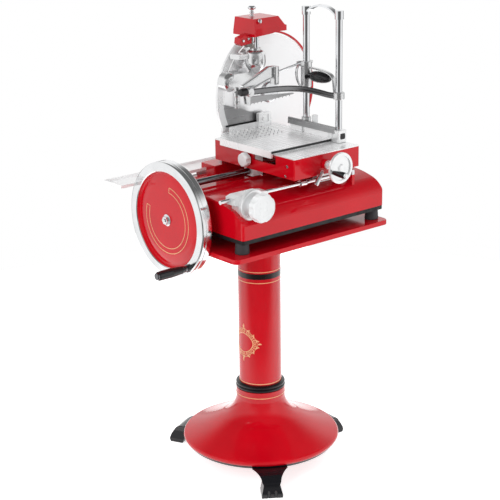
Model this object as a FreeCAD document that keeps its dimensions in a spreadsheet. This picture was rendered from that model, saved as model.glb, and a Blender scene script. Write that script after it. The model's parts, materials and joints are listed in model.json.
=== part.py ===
"""Hand crank (flywheel) meat slicer on a cast pedestal.

Frame: millimetres, +Z up, origin on the floor at the pedestal column's axis.
+X runs along the base away from the flywheel, +Y goes to the blade side.
The driving sizes are in the spreadsheet; every sub-part takes its size and place from them.
"""
import FreeCAD, Part
import math
import os
import Sketcher

Vector = FreeCAD.Vector
doc = FreeCAD.newDocument("meat_slicer")
SUBPARTS = []

# ---------------------------------------------------------------- driving sizes

SIZES = [
    # pedestal
    ("column_radius", 66.5), ("column_wall", 4), ("column_flange_radius", 96), ("column_flange", 8),
    ("column_ring", 10), ("column_ring_bore", 45), ("bell_top", 240), ("bell_neck_radius", 77),
    ("bell_neck_foot", 205), ("bell_wall", 6), ("bell_knee_radius", 130), ("bell_knee_height", 138),
    ("bell_cone_radius", 238), ("bell_cone_height", 89), ("bell_rim_radius", 246.6),
    ("bell_rim_height", 80), ("bell_rim_foot", 72), ("collar_height", 22), ("collar_bulge", 11),
    ("claw_ring_radius", 240), ("claw_ring_width", 22), ("claw_ring_foot", 59), ("claw_tip", 314),
    ("claw_heel", 268), ("claw_neck", 250), ("claw_width", 64), ("claw_neck_width", 50),
    ("claw_web_width", 108), ("claw_angle", 235.5), ("claw_toe_radius", 5), ("bolt_radius", 5),
    ("bolt_head_radius", 9), ("bolt_head", 6), ("bolt_clearance", 0.5), ("top_bolt_circle", 84),
    ("foot_bolt_circle", 53),
    # tray under the slicer
    ("tray_top", 780), ("tray_sheet", 4), ("tray_lip", 14), ("tray_left", -304), ("tray_right", 303),
    ("tray_side", 259), ("tray_corner", 22),
    # slicer base
    ("foot_height", 33), ("foot_radius", 21), ("foot_inset", 30), ("base_left", -266),
    ("base_right", 291), ("base_side", 244.5), ("pan_height", 12), ("pan_sheet", 4), ("base_wall", 6),
    ("base_end_wall", 8), ("base_shoulder", "=tray_top + 86"), ("base_crown_side", 195),
    ("base_crown", "=base_shoulder + 39"), ("base_flat_side", 77), ("base_top", "=base_crown + 17"),
    ("base_corner", 9), ("front_round", 82), ("top_round", 450), ("bar_z", "=base_top + 21"),
    ("bar_radius", 10), ("bar_bed_side", 12), ("bar_bed", 4), ("bar_lug", 12), ("bar_end_gap", 4),
    ("seat_top", "=base_top + 23"), ("seat_left", -80), ("seat_front", 108), ("seat_back", 176),
    ("bracket_seat_left", 128), ("bracket_seat_back", 235), ("end_margin", 8),
    ("ledge_top", "=base_top + 3"), ("ledge_back", 200), ("slice_tray_left", -400),
    ("slice_tray_right", 122), ("slice_tray_front", 178), ("slice_tray_back", 240),
    ("slice_tray_lip", 9), ("slice_tray_sheet", 1.5),
    # drive line
    ("shaft_y", 10), ("shaft_z", "=tray_top + 68"), ("shaft_radius", 10), ("running_gap", 0.05),
    ("rim_radius", 172), ("rim_bore", 143), ("rim_left", -344), ("rim_width", 36), ("rim_groove", 2),
    ("disc_recess", 19), ("disc_sheet", 8), ("disc_wall", 2.5), ("wheel_hub_radius", 30),
    ("wheel_hub_end", -284), ("nut_radius", 11), ("nut_height", 12), ("spoke_width", 16),
    ("handle_circle", 157.5), ("handle_angle", 230), ("handle_bolt_radius", 5), ("grip_length", 92),
    ("grip_radius", 13.5), ("grip_cap", 6), ("grip_stand", 16), ("pinion_radius", 26),
    ("crank_teeth_radius", 54), ("tooth_depth", 4), ("mesh_gap", 0.4), ("pinion_teeth", 20),
    ("crank_teeth", 40), ("pinion_width", 14), ("crank_x", -60), ("crank_throw", 120),
    ("crank_rest", 48.2), ("crank_plate", 7), ("crank_boss", 13), ("crank_washer", 2),
    ("crank_block_top", "=shaft_z + 18"), ("stub_radius", 11), ("rod_y", 26), ("rod_length", 140),
    ("rod_thickness", 8), ("rod_eye", 13), ("rod_pin", 6), ("blade_x", 191), ("miter_gear_radius", 27),
    ("miter_pinion_radius", 18), ("miter_face", 8), ("miter_gear_teeth", 24),
    ("miter_pinion_teeth", 16), ("cross_radius", 10), ("cross_end", 222), ("sprocket_y", 208),
    ("low_sprocket_radius", 24), ("high_sprocket_radius", 16), ("low_sprocket_teeth", 24),
    ("high_sprocket_teeth", 16), ("sprocket_width", 5), ("chain_width", 9), ("chain_thickness", 4),
    ("bearing_outer", 16), ("bearing_width", 16), ("bearing_foot", 52),
    # blade and what carries it
    ("blade_y", 165), ("blade_z", "=table_top + 98"), ("blade_radius", 180), ("blade_sheet", 5),
    ("blade_bevel", 30), ("blade_edge", 0.6), ("blade_hub_radius", 34), ("blade_shaft_radius", 12),
    ("guard_inner", 185), ("guard_outer", 191), ("guard_front", 168), ("guard_depth", 7),
    ("guard_start", 107), ("guard_end", -64), ("crescent_inner", 190), ("crescent_outer", 213),
    ("crescent_front", 160), ("crescent_depth", 8), ("crescent_start", 122), ("crescent_end", 204),
    ("link_outer", 203), ("link_end", 128), ("shield_right", 140), ("shield_sheet", 3),
    ("crescent_foot_left", -12), ("crescent_foot_right", 46), ("bracket_front", 183),
    ("bracket_back", 230), ("bracket_wall", 6), ("bracket_foot_left", 134), ("bracket_foot_right", 250),
    ("bracket_head", 46), ("cover_sheet", 4), ("knuckle_x", 8), ("knuckle_z", "=blade_z + 59"),
    ("knuckle_radius", 29), ("knuckle_front", 118), ("bulb_x", 99), ("bulb_y", 122),
    ("bulb_foot", "=blade_z + 75"), ("sharpener_x", 104), ("bulb_radius", 32),
    ("arm_low", "=blade_z + 36"), ("arm_depth", 28), ("brace_low", "=blade_z + 124"),
    ("brace_height", 16),
    # sharpener
    ("post_radius", 7), ("post_top", "=cover_foot + 34"), ("lift_knob_radius", 12), ("cover_left", 83),
    ("cover_right", 212), ("cover_front", 105), ("cover_back", 208), ("cover_foot", "=blade_z + 190"),
    ("cover_top", "=cover_foot + 53"), ("cover_wall", 3), ("cover_arc", 198), ("stone_radius", 18),
    ("stone_width", 10), ("stone_x", 112), ("stone_z", "=blade_z + 168"), ("stone_gap", 3),
    # carriage and table
    ("carriage_left", -49), ("carriage_right", 212), ("carriage_front", -218), ("carriage_back", 145),
    ("carriage_foot", "=bar_z + 13"), ("carriage_deck", "=carriage_foot + 61"), ("carriage_wall", 8),
    ("deck_wall", 10), ("deck_sheet", 3), ("bush_length", 40), ("bush_block", 19), ("bush_gap", 3),
    ("shoe_y", -150), ("shoe_width", 22), ("shoe_length", 70), ("table_left", -63),
    ("table_right", 202), ("table_front", -131), ("table_back", 152),
    ("table_top", "=carriage_deck + 13"), ("table_gap", 0.3), ("skirt_wall", 8),
    ("skirt_foot", "=carriage_deck - 8"), ("slide_front", 15), ("slide_back", 115), ("slide_neck", 25),
    ("slide_half", 38), ("table_feed", 110), ("nut_block_foot", "=carriage_deck - 44"), ("screw_x", 75),
    ("screw_z", "=carriage_deck - 32"), ("screw_radius", 7), ("screw_end", 118), ("fence_sheet", 3),
    ("fence_left", 12), ("stop_left", 124), ("table_corner_x", 49), ("table_corner_y", 50),
    ("spike_step", 17), ("spike_row", 24), ("spike_height", 4), ("fence_height", 15), ("fence_y", 150),
    ("fence_right", 182), ("stop_width", 48), ("stop_height", 42), ("handwheel_y", -285),
    ("handwheel_radius", 46), ("handwheel_rim", 9), ("hand_grip_circle", 36), ("hand_grip_angle", 190),
    ("hand_grip_radius", 7), ("hand_grip_length", 52),
    # posts and clamp
    ("clamp_post_radius", 10), ("post_x", 194), ("post_a_y", -4), ("post_b_y", -147),
    ("posts_top", "=table_top + 358"), ("socket_radius", 16), ("carrier_left", 184),
    ("carrier_right", 207), ("carrier_back", 64), ("carrier_top", "=table_top + 33"),
    ("socket_top", "=table_top + 48"), ("block_half", 17), ("block_top", "=table_top + 28"),
    ("cap_radius", 13), ("cap_height", 25), ("hoop_rise", 22), ("hoop_sheet", 6), ("hoop_width", 16),
    ("collar_radius", 17), ("collar_a_foot", "=table_top + 139"), ("collar_a_top", "=table_top + 215"),
    ("collar_b_foot", "=table_top + 121"), ("collar_b_top", "=collar_b_foot + 20"), ("strap_left", 187),
    ("strap_right", 201), ("strap_sheet", 10), ("strap_top", "=table_top + 204"),
    ("d_grip_radius", 13.5), ("d_grip_z", "=table_top + 178"), ("bow_foot", "=table_top + 131"),
    ("bow_top", "=bow_foot + 17"), ("bow_width", 11), ("bow_left", -52), ("bow_left_y", -34),
    ("arm_y", -12), ("arm_left", -62), ("arm_right", 60), ("arm_sheet", 15),
    ("head_top", "=bow_top + 70"), ("head_foot", "=bow_top + 20"), ("head_width", 24),
    ("tie_radius", 4), ("presser_left", -48), ("presser_right", 146), ("presser_foot", "=bow_foot - 8"),
    ("presser_sheet", 8), ("spindle_x", -86), ("spindle_radius", 6), ("spindle_foot", "=bow_foot - 19"),
    ("spindle_top", "=bow_top + 30"), ("spindle_knob", 12), ("latch_sheet", 5), ("latch_width", 10),
    ("latch_y", -1), ("latch_swing", 12), ("hinge_pin", 2.5),
    # thickness unit
    ("dial_x", -214), ("dial_z", "=base_shoulder + 52"), ("dial_back", -219.5), ("dial_front", -236),
    ("dial_radius", 47), ("knob_gap", 18), ("knob_radius", 42), ("knob_depth", 26), ("knob_lobes", 8),
    ("dial_shaft", 9), ("stroke_y", -200), ("stroke_z", "=base_shoulder + 72"), ("stroke_radius", 6),
    ("stroke_left", -310), ("stroke_right", 204), ("stroke_collar", -12), ("stroke_stand", 190),
    ("lever_x", 48), ("lever_length", 40), ("lever_radius", 7), ("ear_reach", 62), ("ear_inner", 40),
    ("ear_depth", 39), ("lock_y", -16), ("lock_z", "=carriage_deck - 31"), ("lock_radius", 21.5),
    ("lock_depth", 20),
]


class Size:
    """A number together with the spreadsheet formula that gives it."""

    def __init__(self, number, formula):
        self.number = float(number)
        self.formula = formula

    def __add__(self, other):
        return join(self, "+", other)

    def __radd__(self, other):
        return join(other, "+", self)

    def __sub__(self, other):
        return join(self, "-", other)

    def __rsub__(self, other):
        return join(other, "-", self)

    def __mul__(self, other):
        return join(self, "*", other)

    def __rmul__(self, other):
        return join(other, "*", self)

    def __truediv__(self, other):
        return join(self, "/", other)

    def __neg__(self):
        return join(0, "-", self)


def number(size):
    """The plain number of a size."""
    return size.number if isinstance(size, Size) else float(size)


def formula(size):
    """The spreadsheet formula of a size."""
    return size.formula if isinstance(size, Size) else "%.6f" % size


def join(left, sign, right):
    """Two sizes joined by an arithmetic sign."""
    a = number(left)
    b = number(right)
    value = {"+": a + b, "-": a - b, "*": a * b, "/": a / b if b else 0.0}[sign]
    return Size(value, "(%s %s %s)" % (formula(left), sign, formula(right)))


def root(size):
    """Square root of a size."""
    return Size(math.sqrt(number(size)), "sqrt(%s)" % formula(size))


def cosine(degrees):
    """Cosine of an angle in degrees."""
    return Size(math.cos(math.radians(number(degrees))), "cos(%s * 1deg)" % formula(degrees))


def sine(degrees):
    """Sine of an angle in degrees."""
    return Size(math.sin(math.radians(number(degrees))), "sin(%s * 1deg)" % formula(degrees))


class Sizes:
    """The spreadsheet, read by alias."""

    def __init__(self, rows):
        self.sheet = doc.addObject("Spreadsheet::Sheet", "dims")
        for row, (alias, value) in enumerate(rows, 1):
            self.sheet.set("A%d" % row, alias)
            self.sheet.setAlias("B%d" % row, alias)
        for row, (alias, value) in enumerate(rows, 1):
            self.sheet.set("B%d" % row, str(value))
        doc.recompute()
        self.known = {alias: Size(self.sheet.get(alias), "dims." + alias) for alias, _ in rows}

    def __getattr__(self, alias):
        return self.known[alias]


d = Sizes(SIZES)

# ---------------------------------------------------------------- building blocks

AXES = {
    "z": FreeCAD.Rotation(),
    "x": FreeCAD.Rotation(Vector(0, 1, 0), 90),
    "y": FreeCAD.Rotation(Vector(1, 0, 0), -90),
    "-y": FreeCAD.Rotation(Vector(1, 0, 0), 90),
    "-x": FreeCAD.Rotation(Vector(0, 1, 0), -90),
    "-z": FreeCAD.Rotation(Vector(1, 0, 0), 180),
}


def bind(item, name, size):
    """Tie a property to its formula."""
    item.setExpression(name, formula(size))


def put(item, x=0, y=0, z=0, rotation=None):
    """Place an object, its position tied to the spreadsheet."""
    if rotation is not None:
        item.Placement = FreeCAD.Placement(Vector(), rotation)
    for name, size in (("x", x), ("y", y), ("z", z)):
        bind(item, "Placement.Base." + name, size)
    return item


def box(x0, x1, y0, y1, z0, z1):
    """A block between its six faces."""
    item = doc.addObject("Part::Box", "block")
    bind(item, "Length", x1 - x0)
    bind(item, "Width", y1 - y0)
    bind(item, "Height", z1 - z0)
    return put(item, x0, y0, z0)


def rod(axis, x, y, z, radius, length):
    """A round bar that starts at a point and runs along an axis."""
    item = doc.addObject("Part::Cylinder", "bar")
    bind(item, "Radius", radius)
    bind(item, "Height", length)
    return put(item, x, y, z, AXES[axis])


def cone(axis, x, y, z, radius, end_radius, length):
    """A tapered round bar along an axis."""
    item = doc.addObject("Part::Cone", "taper")
    bind(item, "Radius1", radius)
    bind(item, "Radius2", end_radius)
    bind(item, "Height", length)
    return put(item, x, y, z, AXES[axis])


def ball(x, y, z, radius):
    """A ball."""
    item = doc.addObject("Part::Sphere", "ball")
    bind(item, "Radius", radius)
    return put(item, x, y, z)


def prism_sides(axis, x, y, z, radius, length, sides=6):
    """A regular prism, such as a hexagon head, along an axis."""
    item = doc.addObject("Part::Prism", "prism")
    item.Polygon = sides
    bind(item, "Circumradius", radius)
    bind(item, "Height", length)
    return put(item, x, y, z, AXES[axis])


def fuse(*items):
    """One solid made of several."""
    item = doc.addObject("Part::MultiFuse", "fusion")
    item.Shapes = list(items)
    item.Refine = True
    return item


def cut(base, *tools):
    """A solid less its tools."""
    item = doc.addObject("Part::Cut", "cut")
    item.Base = base
    item.Tool = tools[0] if len(tools) == 1 else fuse(*tools)
    item.Refine = True
    return item


def common(left, right):
    """What two solids share."""
    item = doc.addObject("Part::Common", "common")
    item.Base = left
    item.Tool = right
    return item


def group(*items):
    """Separate solids kept in one node."""
    item = doc.addObject("Part::Compound", "group")
    item.Links = list(items)
    return item


def subpart(name, item):
    """Name a finished sub-part."""
    item.Label = name
    SUBPARTS.append(item)
    return item


def new_sketch(body, plane):
    """An empty sketch on one of a body's own origin planes."""
    sketch = body.newObject("Sketcher::SketchObject", "outline")
    faces = [face for face in body.Origin.OriginFeatures if face.Role == plane]
    sketch.AttachmentSupport = [(faces[0], "")]
    sketch.MapMode = "FlatFace"
    return sketch


def arc_between(start, end, radius):
    """The shorter arc from start to end: anticlockwise on the way, clockwise if negative."""
    if radius < 0:
        start, end = end, start
    along_u = end[0] - start[0]
    along_v = end[1] - start[1]
    chord = math.hypot(along_u, along_v)
    reach = math.sqrt(max(radius * radius - chord * chord / 4, 0.0)) / chord
    centre = Vector((start[0] + end[0]) / 2 - along_v * reach, (start[1] + end[1]) / 2 + along_u * reach, 0)
    first = math.atan2(start[1] - centre.y, start[0] - centre.x)
    last = math.atan2(end[1] - centre.y, end[0] - centre.x)
    if last < first:
        last += 2 * math.pi
    return Part.ArcOfCircle(Part.Circle(centre, Vector(0, 0, 1), abs(radius)), first, last)


def fix_point(sketch, index, spot, u, v):
    """Tie one sketch point to its two formulas."""
    for kind, size in (("DistanceX", u), ("DistanceY", v)):
        rule = sketch.addConstraint(Sketcher.Constraint(kind, -1, 1, index, spot, number(size)))
        bind(sketch, "Constraints[%d]" % rule, size)


def draw_loop(sketch, points):
    """A closed outline. A point is (u, v), or (u, v, radius) where an arc leads to it."""
    first = sketch.GeometryCount
    count = len(points)
    ends = []
    for index, point in enumerate(points):
        before = points[index - 1]
        start = (number(before[0]), number(before[1]))
        end = (number(point[0]), number(point[1]))
        if len(point) == 3:
            radius = number(point[2])
            sketch.addGeometry(arc_between(start, end, radius), False)
            ends.append((1, 2) if radius > 0 else (2, 1))
        else:
            line = Part.LineSegment(Vector(start[0], start[1], 0), Vector(end[0], end[1], 0))
            sketch.addGeometry(line, False)
            ends.append((1, 2))
    for index, point in enumerate(points):
        after = (index + 1) % count
        joined = Sketcher.Constraint("Coincident", first + index, ends[index][1], first + after,
                                     ends[after][0])
        sketch.addConstraint(joined)
        fix_point(sketch, first + index, ends[index][1], point[0], point[1])
        if len(point) == 3:
            radius = abs(number(point[2]))
            rule = sketch.addConstraint(Sketcher.Constraint("Radius", first + index, radius))
            bind(sketch, "Constraints[%d]" % rule, point[2] if number(point[2]) > 0 else 0 - point[2])


def draw_circle(sketch, u, v, radius):
    """A round outline."""
    circle = Part.Circle(Vector(number(u), number(v), 0), Vector(0, 0, 1), number(radius))
    index = sketch.addGeometry(circle, False)
    fix_point(sketch, index, 3, u, v)
    rule = sketch.addConstraint(Sketcher.Constraint("Radius", index, number(radius)))
    bind(sketch, "Constraints[%d]" % rule, radius)


def draw(sketch, loops):
    """Loops are lists of points, or (u, v, radius) circles given as tuples."""
    for loop in loops:
        if isinstance(loop, tuple):
            draw_circle(sketch, *loop)
        else:
            draw_loop(sketch, loop)


def pad(plane, loops, length):
    """A body with one padded sketch."""
    body = doc.addObject("PartDesign::Body", "body")
    sketch = new_sketch(body, plane)
    draw(sketch, loops)
    feature = body.newObject("PartDesign::Pad", "pad")
    feature.Profile = sketch
    bind(feature, "Length", length)
    return body


def plate_x(x0, x1, *loops):
    """Outlines in Y and Z, padded from x0 to x1."""
    return put(pad("YZ_Plane", loops, x1 - x0), x=x0)


def plate_y(y0, y1, *loops):
    """Outlines in X and Z, padded from y0 to y1."""
    return put(pad("XZ_Plane", loops, y1 - y0), y=y1)


def plate_z(z0, z1, *loops):
    """Outlines in X and Y, padded from z0 to z1."""
    return put(pad("XY_Plane", loops, z1 - z0), z=z0)


def lathe(loops, x=0, y=0, z=0, axis="z"):
    """A turned body: outlines are (radius, height along the axis)."""
    body = doc.addObject("PartDesign::Body", "turned")
    sketch = new_sketch(body, "XZ_Plane")
    draw(sketch, loops)
    feature = body.newObject("PartDesign::Revolution", "turn")
    feature.Profile = sketch
    feature.ReferenceAxis = (sketch, ["V_Axis"])
    feature.Angle = 360
    return put(body, x, y, z, AXES[axis])


def ring(inner, outer, low, high):
    """A lathe outline of a plain ring."""
    return [(inner, low), (outer, low), (outer, high), (inner, high)]


def rectangle(u0, u1, v0, v1):
    """A plain four-sided outline."""
    return [(u0, v0), (u1, v0), (u1, v1), (u0, v1)]


def rounded(u0, u1, v0, v1, corner):
    """A rectangle with four round corners."""
    return [
        (u0 + corner, v0, corner), (u1 - corner, v0), (u1, v0 + corner, corner), (u1, v1 - corner),
        (u1 - corner, v1, corner), (u0 + corner, v1), (u0, v1 - corner, corner), (u0, v0 + corner),
    ]


def on_ring(centre_u, centre_v, radius, degrees):
    """A point on a circle at an angle."""
    return centre_u + radius * cosine(degrees), centre_v + radius * sine(degrees)


def spin(item, x, y, z, axis, degrees):
    """Turn an object by an angle about a line along x, y or z through a point."""
    cos = cosine(degrees)
    sin = sine(degrees)
    holder = doc.addObject("Part::Compound", "turned_group")
    holder.Links = [item]
    direction = {"x": Vector(1, 0, 0), "y": Vector(0, 1, 0), "z": Vector(0, 0, 1)}[axis]
    holder.Placement = FreeCAD.Placement(Vector(), FreeCAD.Rotation(direction, number(degrees)))
    if isinstance(degrees, Size):
        bind(holder, "Placement.Rotation.Angle", degrees)
    if axis == "x":
        move = (0, y - y * cos + z * sin, z - y * sin - z * cos)
    elif axis == "y":
        move = (x - x * cos - z * sin, 0, z + x * sin - z * cos)
    else:
        move = (x - x * cos + y * sin, y - x * sin - y * cos, 0)
    return put(holder, *move)


def gear(outline, gap, depth, teeth, x, y, z, axis):
    """A turned blank with a ring of tooth gaps cut into it from its lower face."""
    body = lathe([outline], x, y, z, axis)
    sketch = new_sketch(body, "XY_Plane")
    draw(sketch, [gap])
    pocket = body.newObject("PartDesign::Pocket", "gap")
    pocket.Profile = sketch
    pocket.Reversed = True
    bind(pocket, "Length", depth)
    pattern = body.newObject("PartDesign::PolarPattern", "teeth")
    pattern.Originals = [pocket]
    pattern.Axis = (sketch, ["N_Axis"])
    pattern.Angle = 360
    bind(pattern, "Occurrences", teeth)
    body.Tip = pattern
    return body


def tooth_gap(radius, teeth):
    """Outline of one tooth gap at the rim of a wheel."""
    half = radius * (math.pi / 2) / teeth
    root_line = radius - d.tooth_depth
    return [
        (root_line, half * -0.7), (radius + 1, half * -1.4), (radius + 1, half * 1.4),
        (root_line, half * 0.7),
    ]


# ---------------------------------------------------------------- pedestal

def make_claw(degrees):
    """One cast claw foot: a side profile crossed with a front profile, then its toes."""
    top = d.claw_ring_foot + 10
    inner = d.claw_ring_radius - d.claw_ring_width
    half = d.claw_width / 2
    neck = d.claw_neck_width / 2
    web = d.claw_web_width / 2
    side = plate_y(-web, web, [
        (inner, top), (inner, d.claw_ring_foot - 6), (d.claw_neck, 40, -30), (d.claw_heel - 6, 18, -40),
        (d.claw_heel, 0, 40), (d.claw_tip - 3, 0), (d.claw_tip, 9), (d.claw_tip - 14, 40, 60),
        (d.claw_neck + 2, top, 60),
    ])
    front = plate_x(inner, d.claw_tip, [
        (-half, 0), (half, 0), (half, 12), (neck, 38), (neck + 4, 46), (web, top, -26),
        (-web, top), (-neck - 4, 46, -26), (-neck, 38), (-half, 12),
    ])
    claw = common(side, front)
    toes = []
    for place in (-1, 1):
        offset = d.claw_width / 6 * place
        toes.append(rod("z", d.claw_tip + 1, offset, -1, d.claw_toe_radius, 40))
    return spin(cut(claw, *toes), 0, 0, 0, "z", degrees)


def make_pedestal():
    """Claws, bell base, collar and column."""
    ring_top = d.bell_rim_foot
    half_ring = d.claw_ring_radius - d.claw_ring_width
    claw_ring = lathe([[
        (half_ring, d.claw_ring_foot), (d.claw_ring_radius - 10, d.claw_ring_foot),
        (d.claw_ring_radius, ring_top - 2, 16), (d.claw_ring_radius, ring_top), (half_ring, ring_top),
    ]])
    claws = [make_claw(d.claw_angle + 120 * k) for k in range(3)]
    subpart("claw_base", fuse(claw_ring, *claws))
    wall = d.bell_wall
    bell = lathe([[
        (d.column_ring_bore, d.bell_top), (d.column_ring_bore, d.bell_top - 8),
        (d.bell_neck_radius - wall, d.bell_top - 8), (d.bell_neck_radius - wall, d.bell_neck_foot),
        (d.bell_knee_radius - wall / 2, d.bell_knee_height - wall, 96),
        (d.bell_cone_radius - 8, d.bell_cone_height - wall - 2, 640),
        (half_ring, d.bell_rim_foot), (d.bell_rim_radius - 4, d.bell_rim_foot),
        (d.bell_rim_radius, d.bell_rim_height, 10), (d.bell_cone_radius, d.bell_cone_height, 10),
        (d.bell_knee_radius, d.bell_knee_height, -640),
        (d.bell_neck_radius, d.bell_neck_foot, -90), (d.bell_neck_radius, d.bell_top),
    ]])
    holes = [foot_bolt_at(k, d.bolt_radius + d.bolt_clearance, False) for k in range(3)]
    subpart("bell_base", cut(bell, *holes))
    bore = d.column_radius + 0.3
    subpart("collar_ring", lathe([[
        (bore, 0), (d.bell_neck_radius - 2, 0), (d.bell_neck_radius - 1, 9, d.collar_bulge / 2),
        (d.bell_neck_radius - 3, 10), (d.bell_neck_radius - 3, 20, d.collar_bulge / 2),
        (bore + 2, d.collar_height, 9), (bore, d.collar_height),
    ]], z=d.bell_top))
    inside = d.column_radius - d.column_wall
    top = d.tray_top - d.tray_sheet
    under = top - d.column_flange
    column = lathe([[
        (d.column_ring_bore, d.bell_top), (d.column_radius, d.bell_top), (d.column_radius, under),
        (inside, under), (inside, d.bell_top + d.column_ring),
        (d.column_ring_bore, d.bell_top + d.column_ring),
    ]])
    gap = d.bolt_radius + d.bolt_clearance
    subpart("column", cut(column, *[foot_bolt_at(k, gap, False) for k in range(3)]))
    flange = lathe([[
        (inside, under), (d.column_flange_radius, under), (d.column_flange_radius, top), (inside, top),
    ]])
    subpart("column_flange", cut(flange, *[top_bolt_at(k, gap, False) for k in range(4)]))
    bolts = [top_bolt_at(k, d.bolt_radius, True) for k in range(4)]
    bolts += [foot_bolt_at(k, d.bolt_radius, True) for k in range(3)]
    subpart("flange_bolts", group(*bolts))


def top_bolt_at(k, radius, headed):
    """A bolt, or its hole, through the pedestal tray and the column's top flange."""
    x, y = on_ring(0, 0, d.top_bolt_circle, 45 + 90 * k)
    low = d.tray_top - d.tray_sheet - d.column_flange - d.bolt_head
    shank = rod("z", x, y, low, radius, d.tray_top - low)
    if not headed:
        return shank
    head = prism_sides("z", x, y, d.tray_top, d.bolt_head_radius, d.bolt_head)
    nut = prism_sides("z", x, y, low, d.bolt_head_radius, d.bolt_head)
    return fuse(shank, head, nut)


def foot_bolt_at(k, radius, headed):
    """A bolt, or its hole, through the bell's neck and the column's foot ring."""
    x, y = on_ring(0, 0, d.foot_bolt_circle, 30 + 120 * k)
    low = d.bell_top - 8
    high = d.bell_top + d.column_ring
    shank = rod("z", x, y, low, radius, high - low)
    if not headed:
        return shank
    head = prism_sides("z", x, y, low - d.bolt_head, d.bolt_head_radius, d.bolt_head)
    nut = prism_sides("z", x, y, high, d.bolt_head_radius, d.bolt_head)
    return fuse(shank, head, nut)


def make_tray():
    """The pressed tray between column and slicer, its lip turned down."""
    low = d.tray_top - d.tray_lip
    side = d.tray_side
    outer = plate_z(low, d.tray_top, rounded(d.tray_left, d.tray_right, -side, side, d.tray_corner))
    edge = d.tray_sheet
    inner = plate_z(low, d.tray_top - edge, rounded(
        d.tray_left + edge, d.tray_right - edge, edge - side, side - edge, d.tray_corner - edge))
    holes = [top_bolt_at(k, d.bolt_radius + d.bolt_clearance, False) for k in range(4)]
    subpart("tray", cut(outer, inner, *holes))


# ---------------------------------------------------------------- slicer base

def base_profile(inset):
    """The arched cross-section of the base casting, drawn inward by an inset."""
    foot = d.tray_top + d.foot_height + d.pan_height
    shoulder = d.base_shoulder
    side = d.base_side - inset
    crown = d.base_crown - inset
    crown_side = d.base_crown_side - inset / 2
    flat = d.base_top - inset
    front = d.front_round - inset
    top = d.top_round - inset
    return [
        (side, foot), (side, shoulder), (crown_side, crown, front), (d.base_flat_side, flat, top),
        (-d.base_flat_side, flat), (-crown_side, crown, top), (-side, shoulder, front), (-side, foot),
    ]


def make_base():
    """Feet, pan and the red base casting with its seats and openings."""
    foot_x = (d.base_left + d.foot_radius, d.base_right - d.foot_radius)
    foot_y = d.base_side - d.foot_inset
    feet = []
    for x in foot_x:
        for y in (-foot_y, foot_y):
            feet.append(lathe([[
                (0, 0), (d.foot_radius - 1, 0), (d.foot_radius, 3), (d.foot_radius - 2, d.foot_height),
                (0, d.foot_height),
            ]], x, y, d.tray_top))
    subpart("rubber_feet", group(*feet))
    low = d.tray_top + d.foot_height
    high = low + d.pan_height
    side = d.base_side - 1
    left = d.base_left + 1
    right = d.base_right - 1
    pan = plate_z(low, high, rounded(left, right, -side, side, 8))
    well = plate_z(low + d.pan_sheet, high, rounded(left + 6, right - 6, 6 - side, side - 6, 6))
    subpart("base_pan", cut(pan, well))

    left = d.base_left
    right = d.base_right
    corner = d.base_corner
    plan = plate_z(high, d.base_top, rounded(left, right, -d.base_side, d.base_side, corner))
    elevation = plate_y(-d.base_side, d.base_side, [
        (left, high), (right, high), (right, d.base_top - corner), (right - corner, d.base_top, corner),
        (left + corner, d.base_top), (left, d.base_top - corner, corner),
    ])
    shell = common(common(plate_x(left, right, base_profile(0)), plan), elevation)
    seat_low = d.base_crown - 20
    seat_right = d.base_right - d.end_margin
    seat = plate_z(seat_low, d.seat_top, rounded(
        d.seat_left, seat_right, d.seat_front, d.seat_back, 4))
    bracket_seat = plate_z(seat_low, d.seat_top, rounded(
        d.bracket_seat_left, seat_right, d.seat_back - 10, d.bracket_seat_back, 4))
    ledge = box(d.seat_left, d.bracket_seat_left, d.seat_back - 4, d.ledge_back, seat_low, d.ledge_top)
    bed = box(d.base_left + 6, d.base_right - 6, -d.bar_bed_side, d.bar_bed_side, d.base_top - 2,
              d.base_top + d.bar_bed)
    lugs = []
    for x in (d.base_left + d.bar_end_gap, d.base_right - d.bar_end_gap - d.bar_lug):
        lugs.append(plate_x(x, x + d.bar_lug, [
            (-16, d.base_top - 5), (16, d.base_top - 5), (16, d.bar_z - 6), (13, d.bar_z), (-13, d.bar_z),
            (-16, d.bar_z - 6),
        ]))
    outside = fuse(shell, seat, bracket_seat, ledge, bed, *lugs)
    hollow = plate_x(d.base_left + d.base_end_wall, d.base_right - d.base_end_wall,
                     base_profile(d.base_wall))
    well = box(d.bracket_seat_left + 12, seat_right - 60, d.seat_back + 8, d.bracket_seat_back - 8,
               seat_low - 10, d.seat_top)
    pin_x = d.crank_x + d.crank_throw * cosine(d.crank_rest) + rod_reach()
    slot = box(pin_x - 216, pin_x + 56, d.rod_y - 12, d.rod_y + 12, d.base_top - 20, d.base_top + 20)
    bar = guide_bar(0)
    shaft_hole = rod("x", d.base_left - 20, d.shaft_y, d.shaft_z, d.bearing_outer, 60)
    subpart("base_housing", cut(outside, hollow, well, slot, bar, shaft_hole))
    subpart("guide_bar", guide_bar(0))


def guide_bar(extra):
    """The round bar on which the carriage runs."""
    start = d.base_left + d.bar_end_gap
    return rod("x", start, 0, d.bar_z, d.bar_radius + extra, d.base_right - d.bar_end_gap - start)


def make_slice_tray():
    """The steel tray that catches the slices, beside the blade."""
    low = d.ledge_top
    high = low + d.slice_tray_lip
    front = d.slice_tray_front
    sheet = d.slice_tray_sheet
    outer = plate_z(low, high, rounded(
        d.slice_tray_left, d.slice_tray_right, front, d.slice_tray_back, 10))
    inner = plate_z(low + sheet, high, rounded(
        d.slice_tray_left + sheet, d.slice_tray_right - sheet, front + sheet,
        d.slice_tray_back - sheet, 10 - sheet))
    subpart("slice_tray", cut(outer, inner))


# ---------------------------------------------------------------- flywheel and drive line

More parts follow.
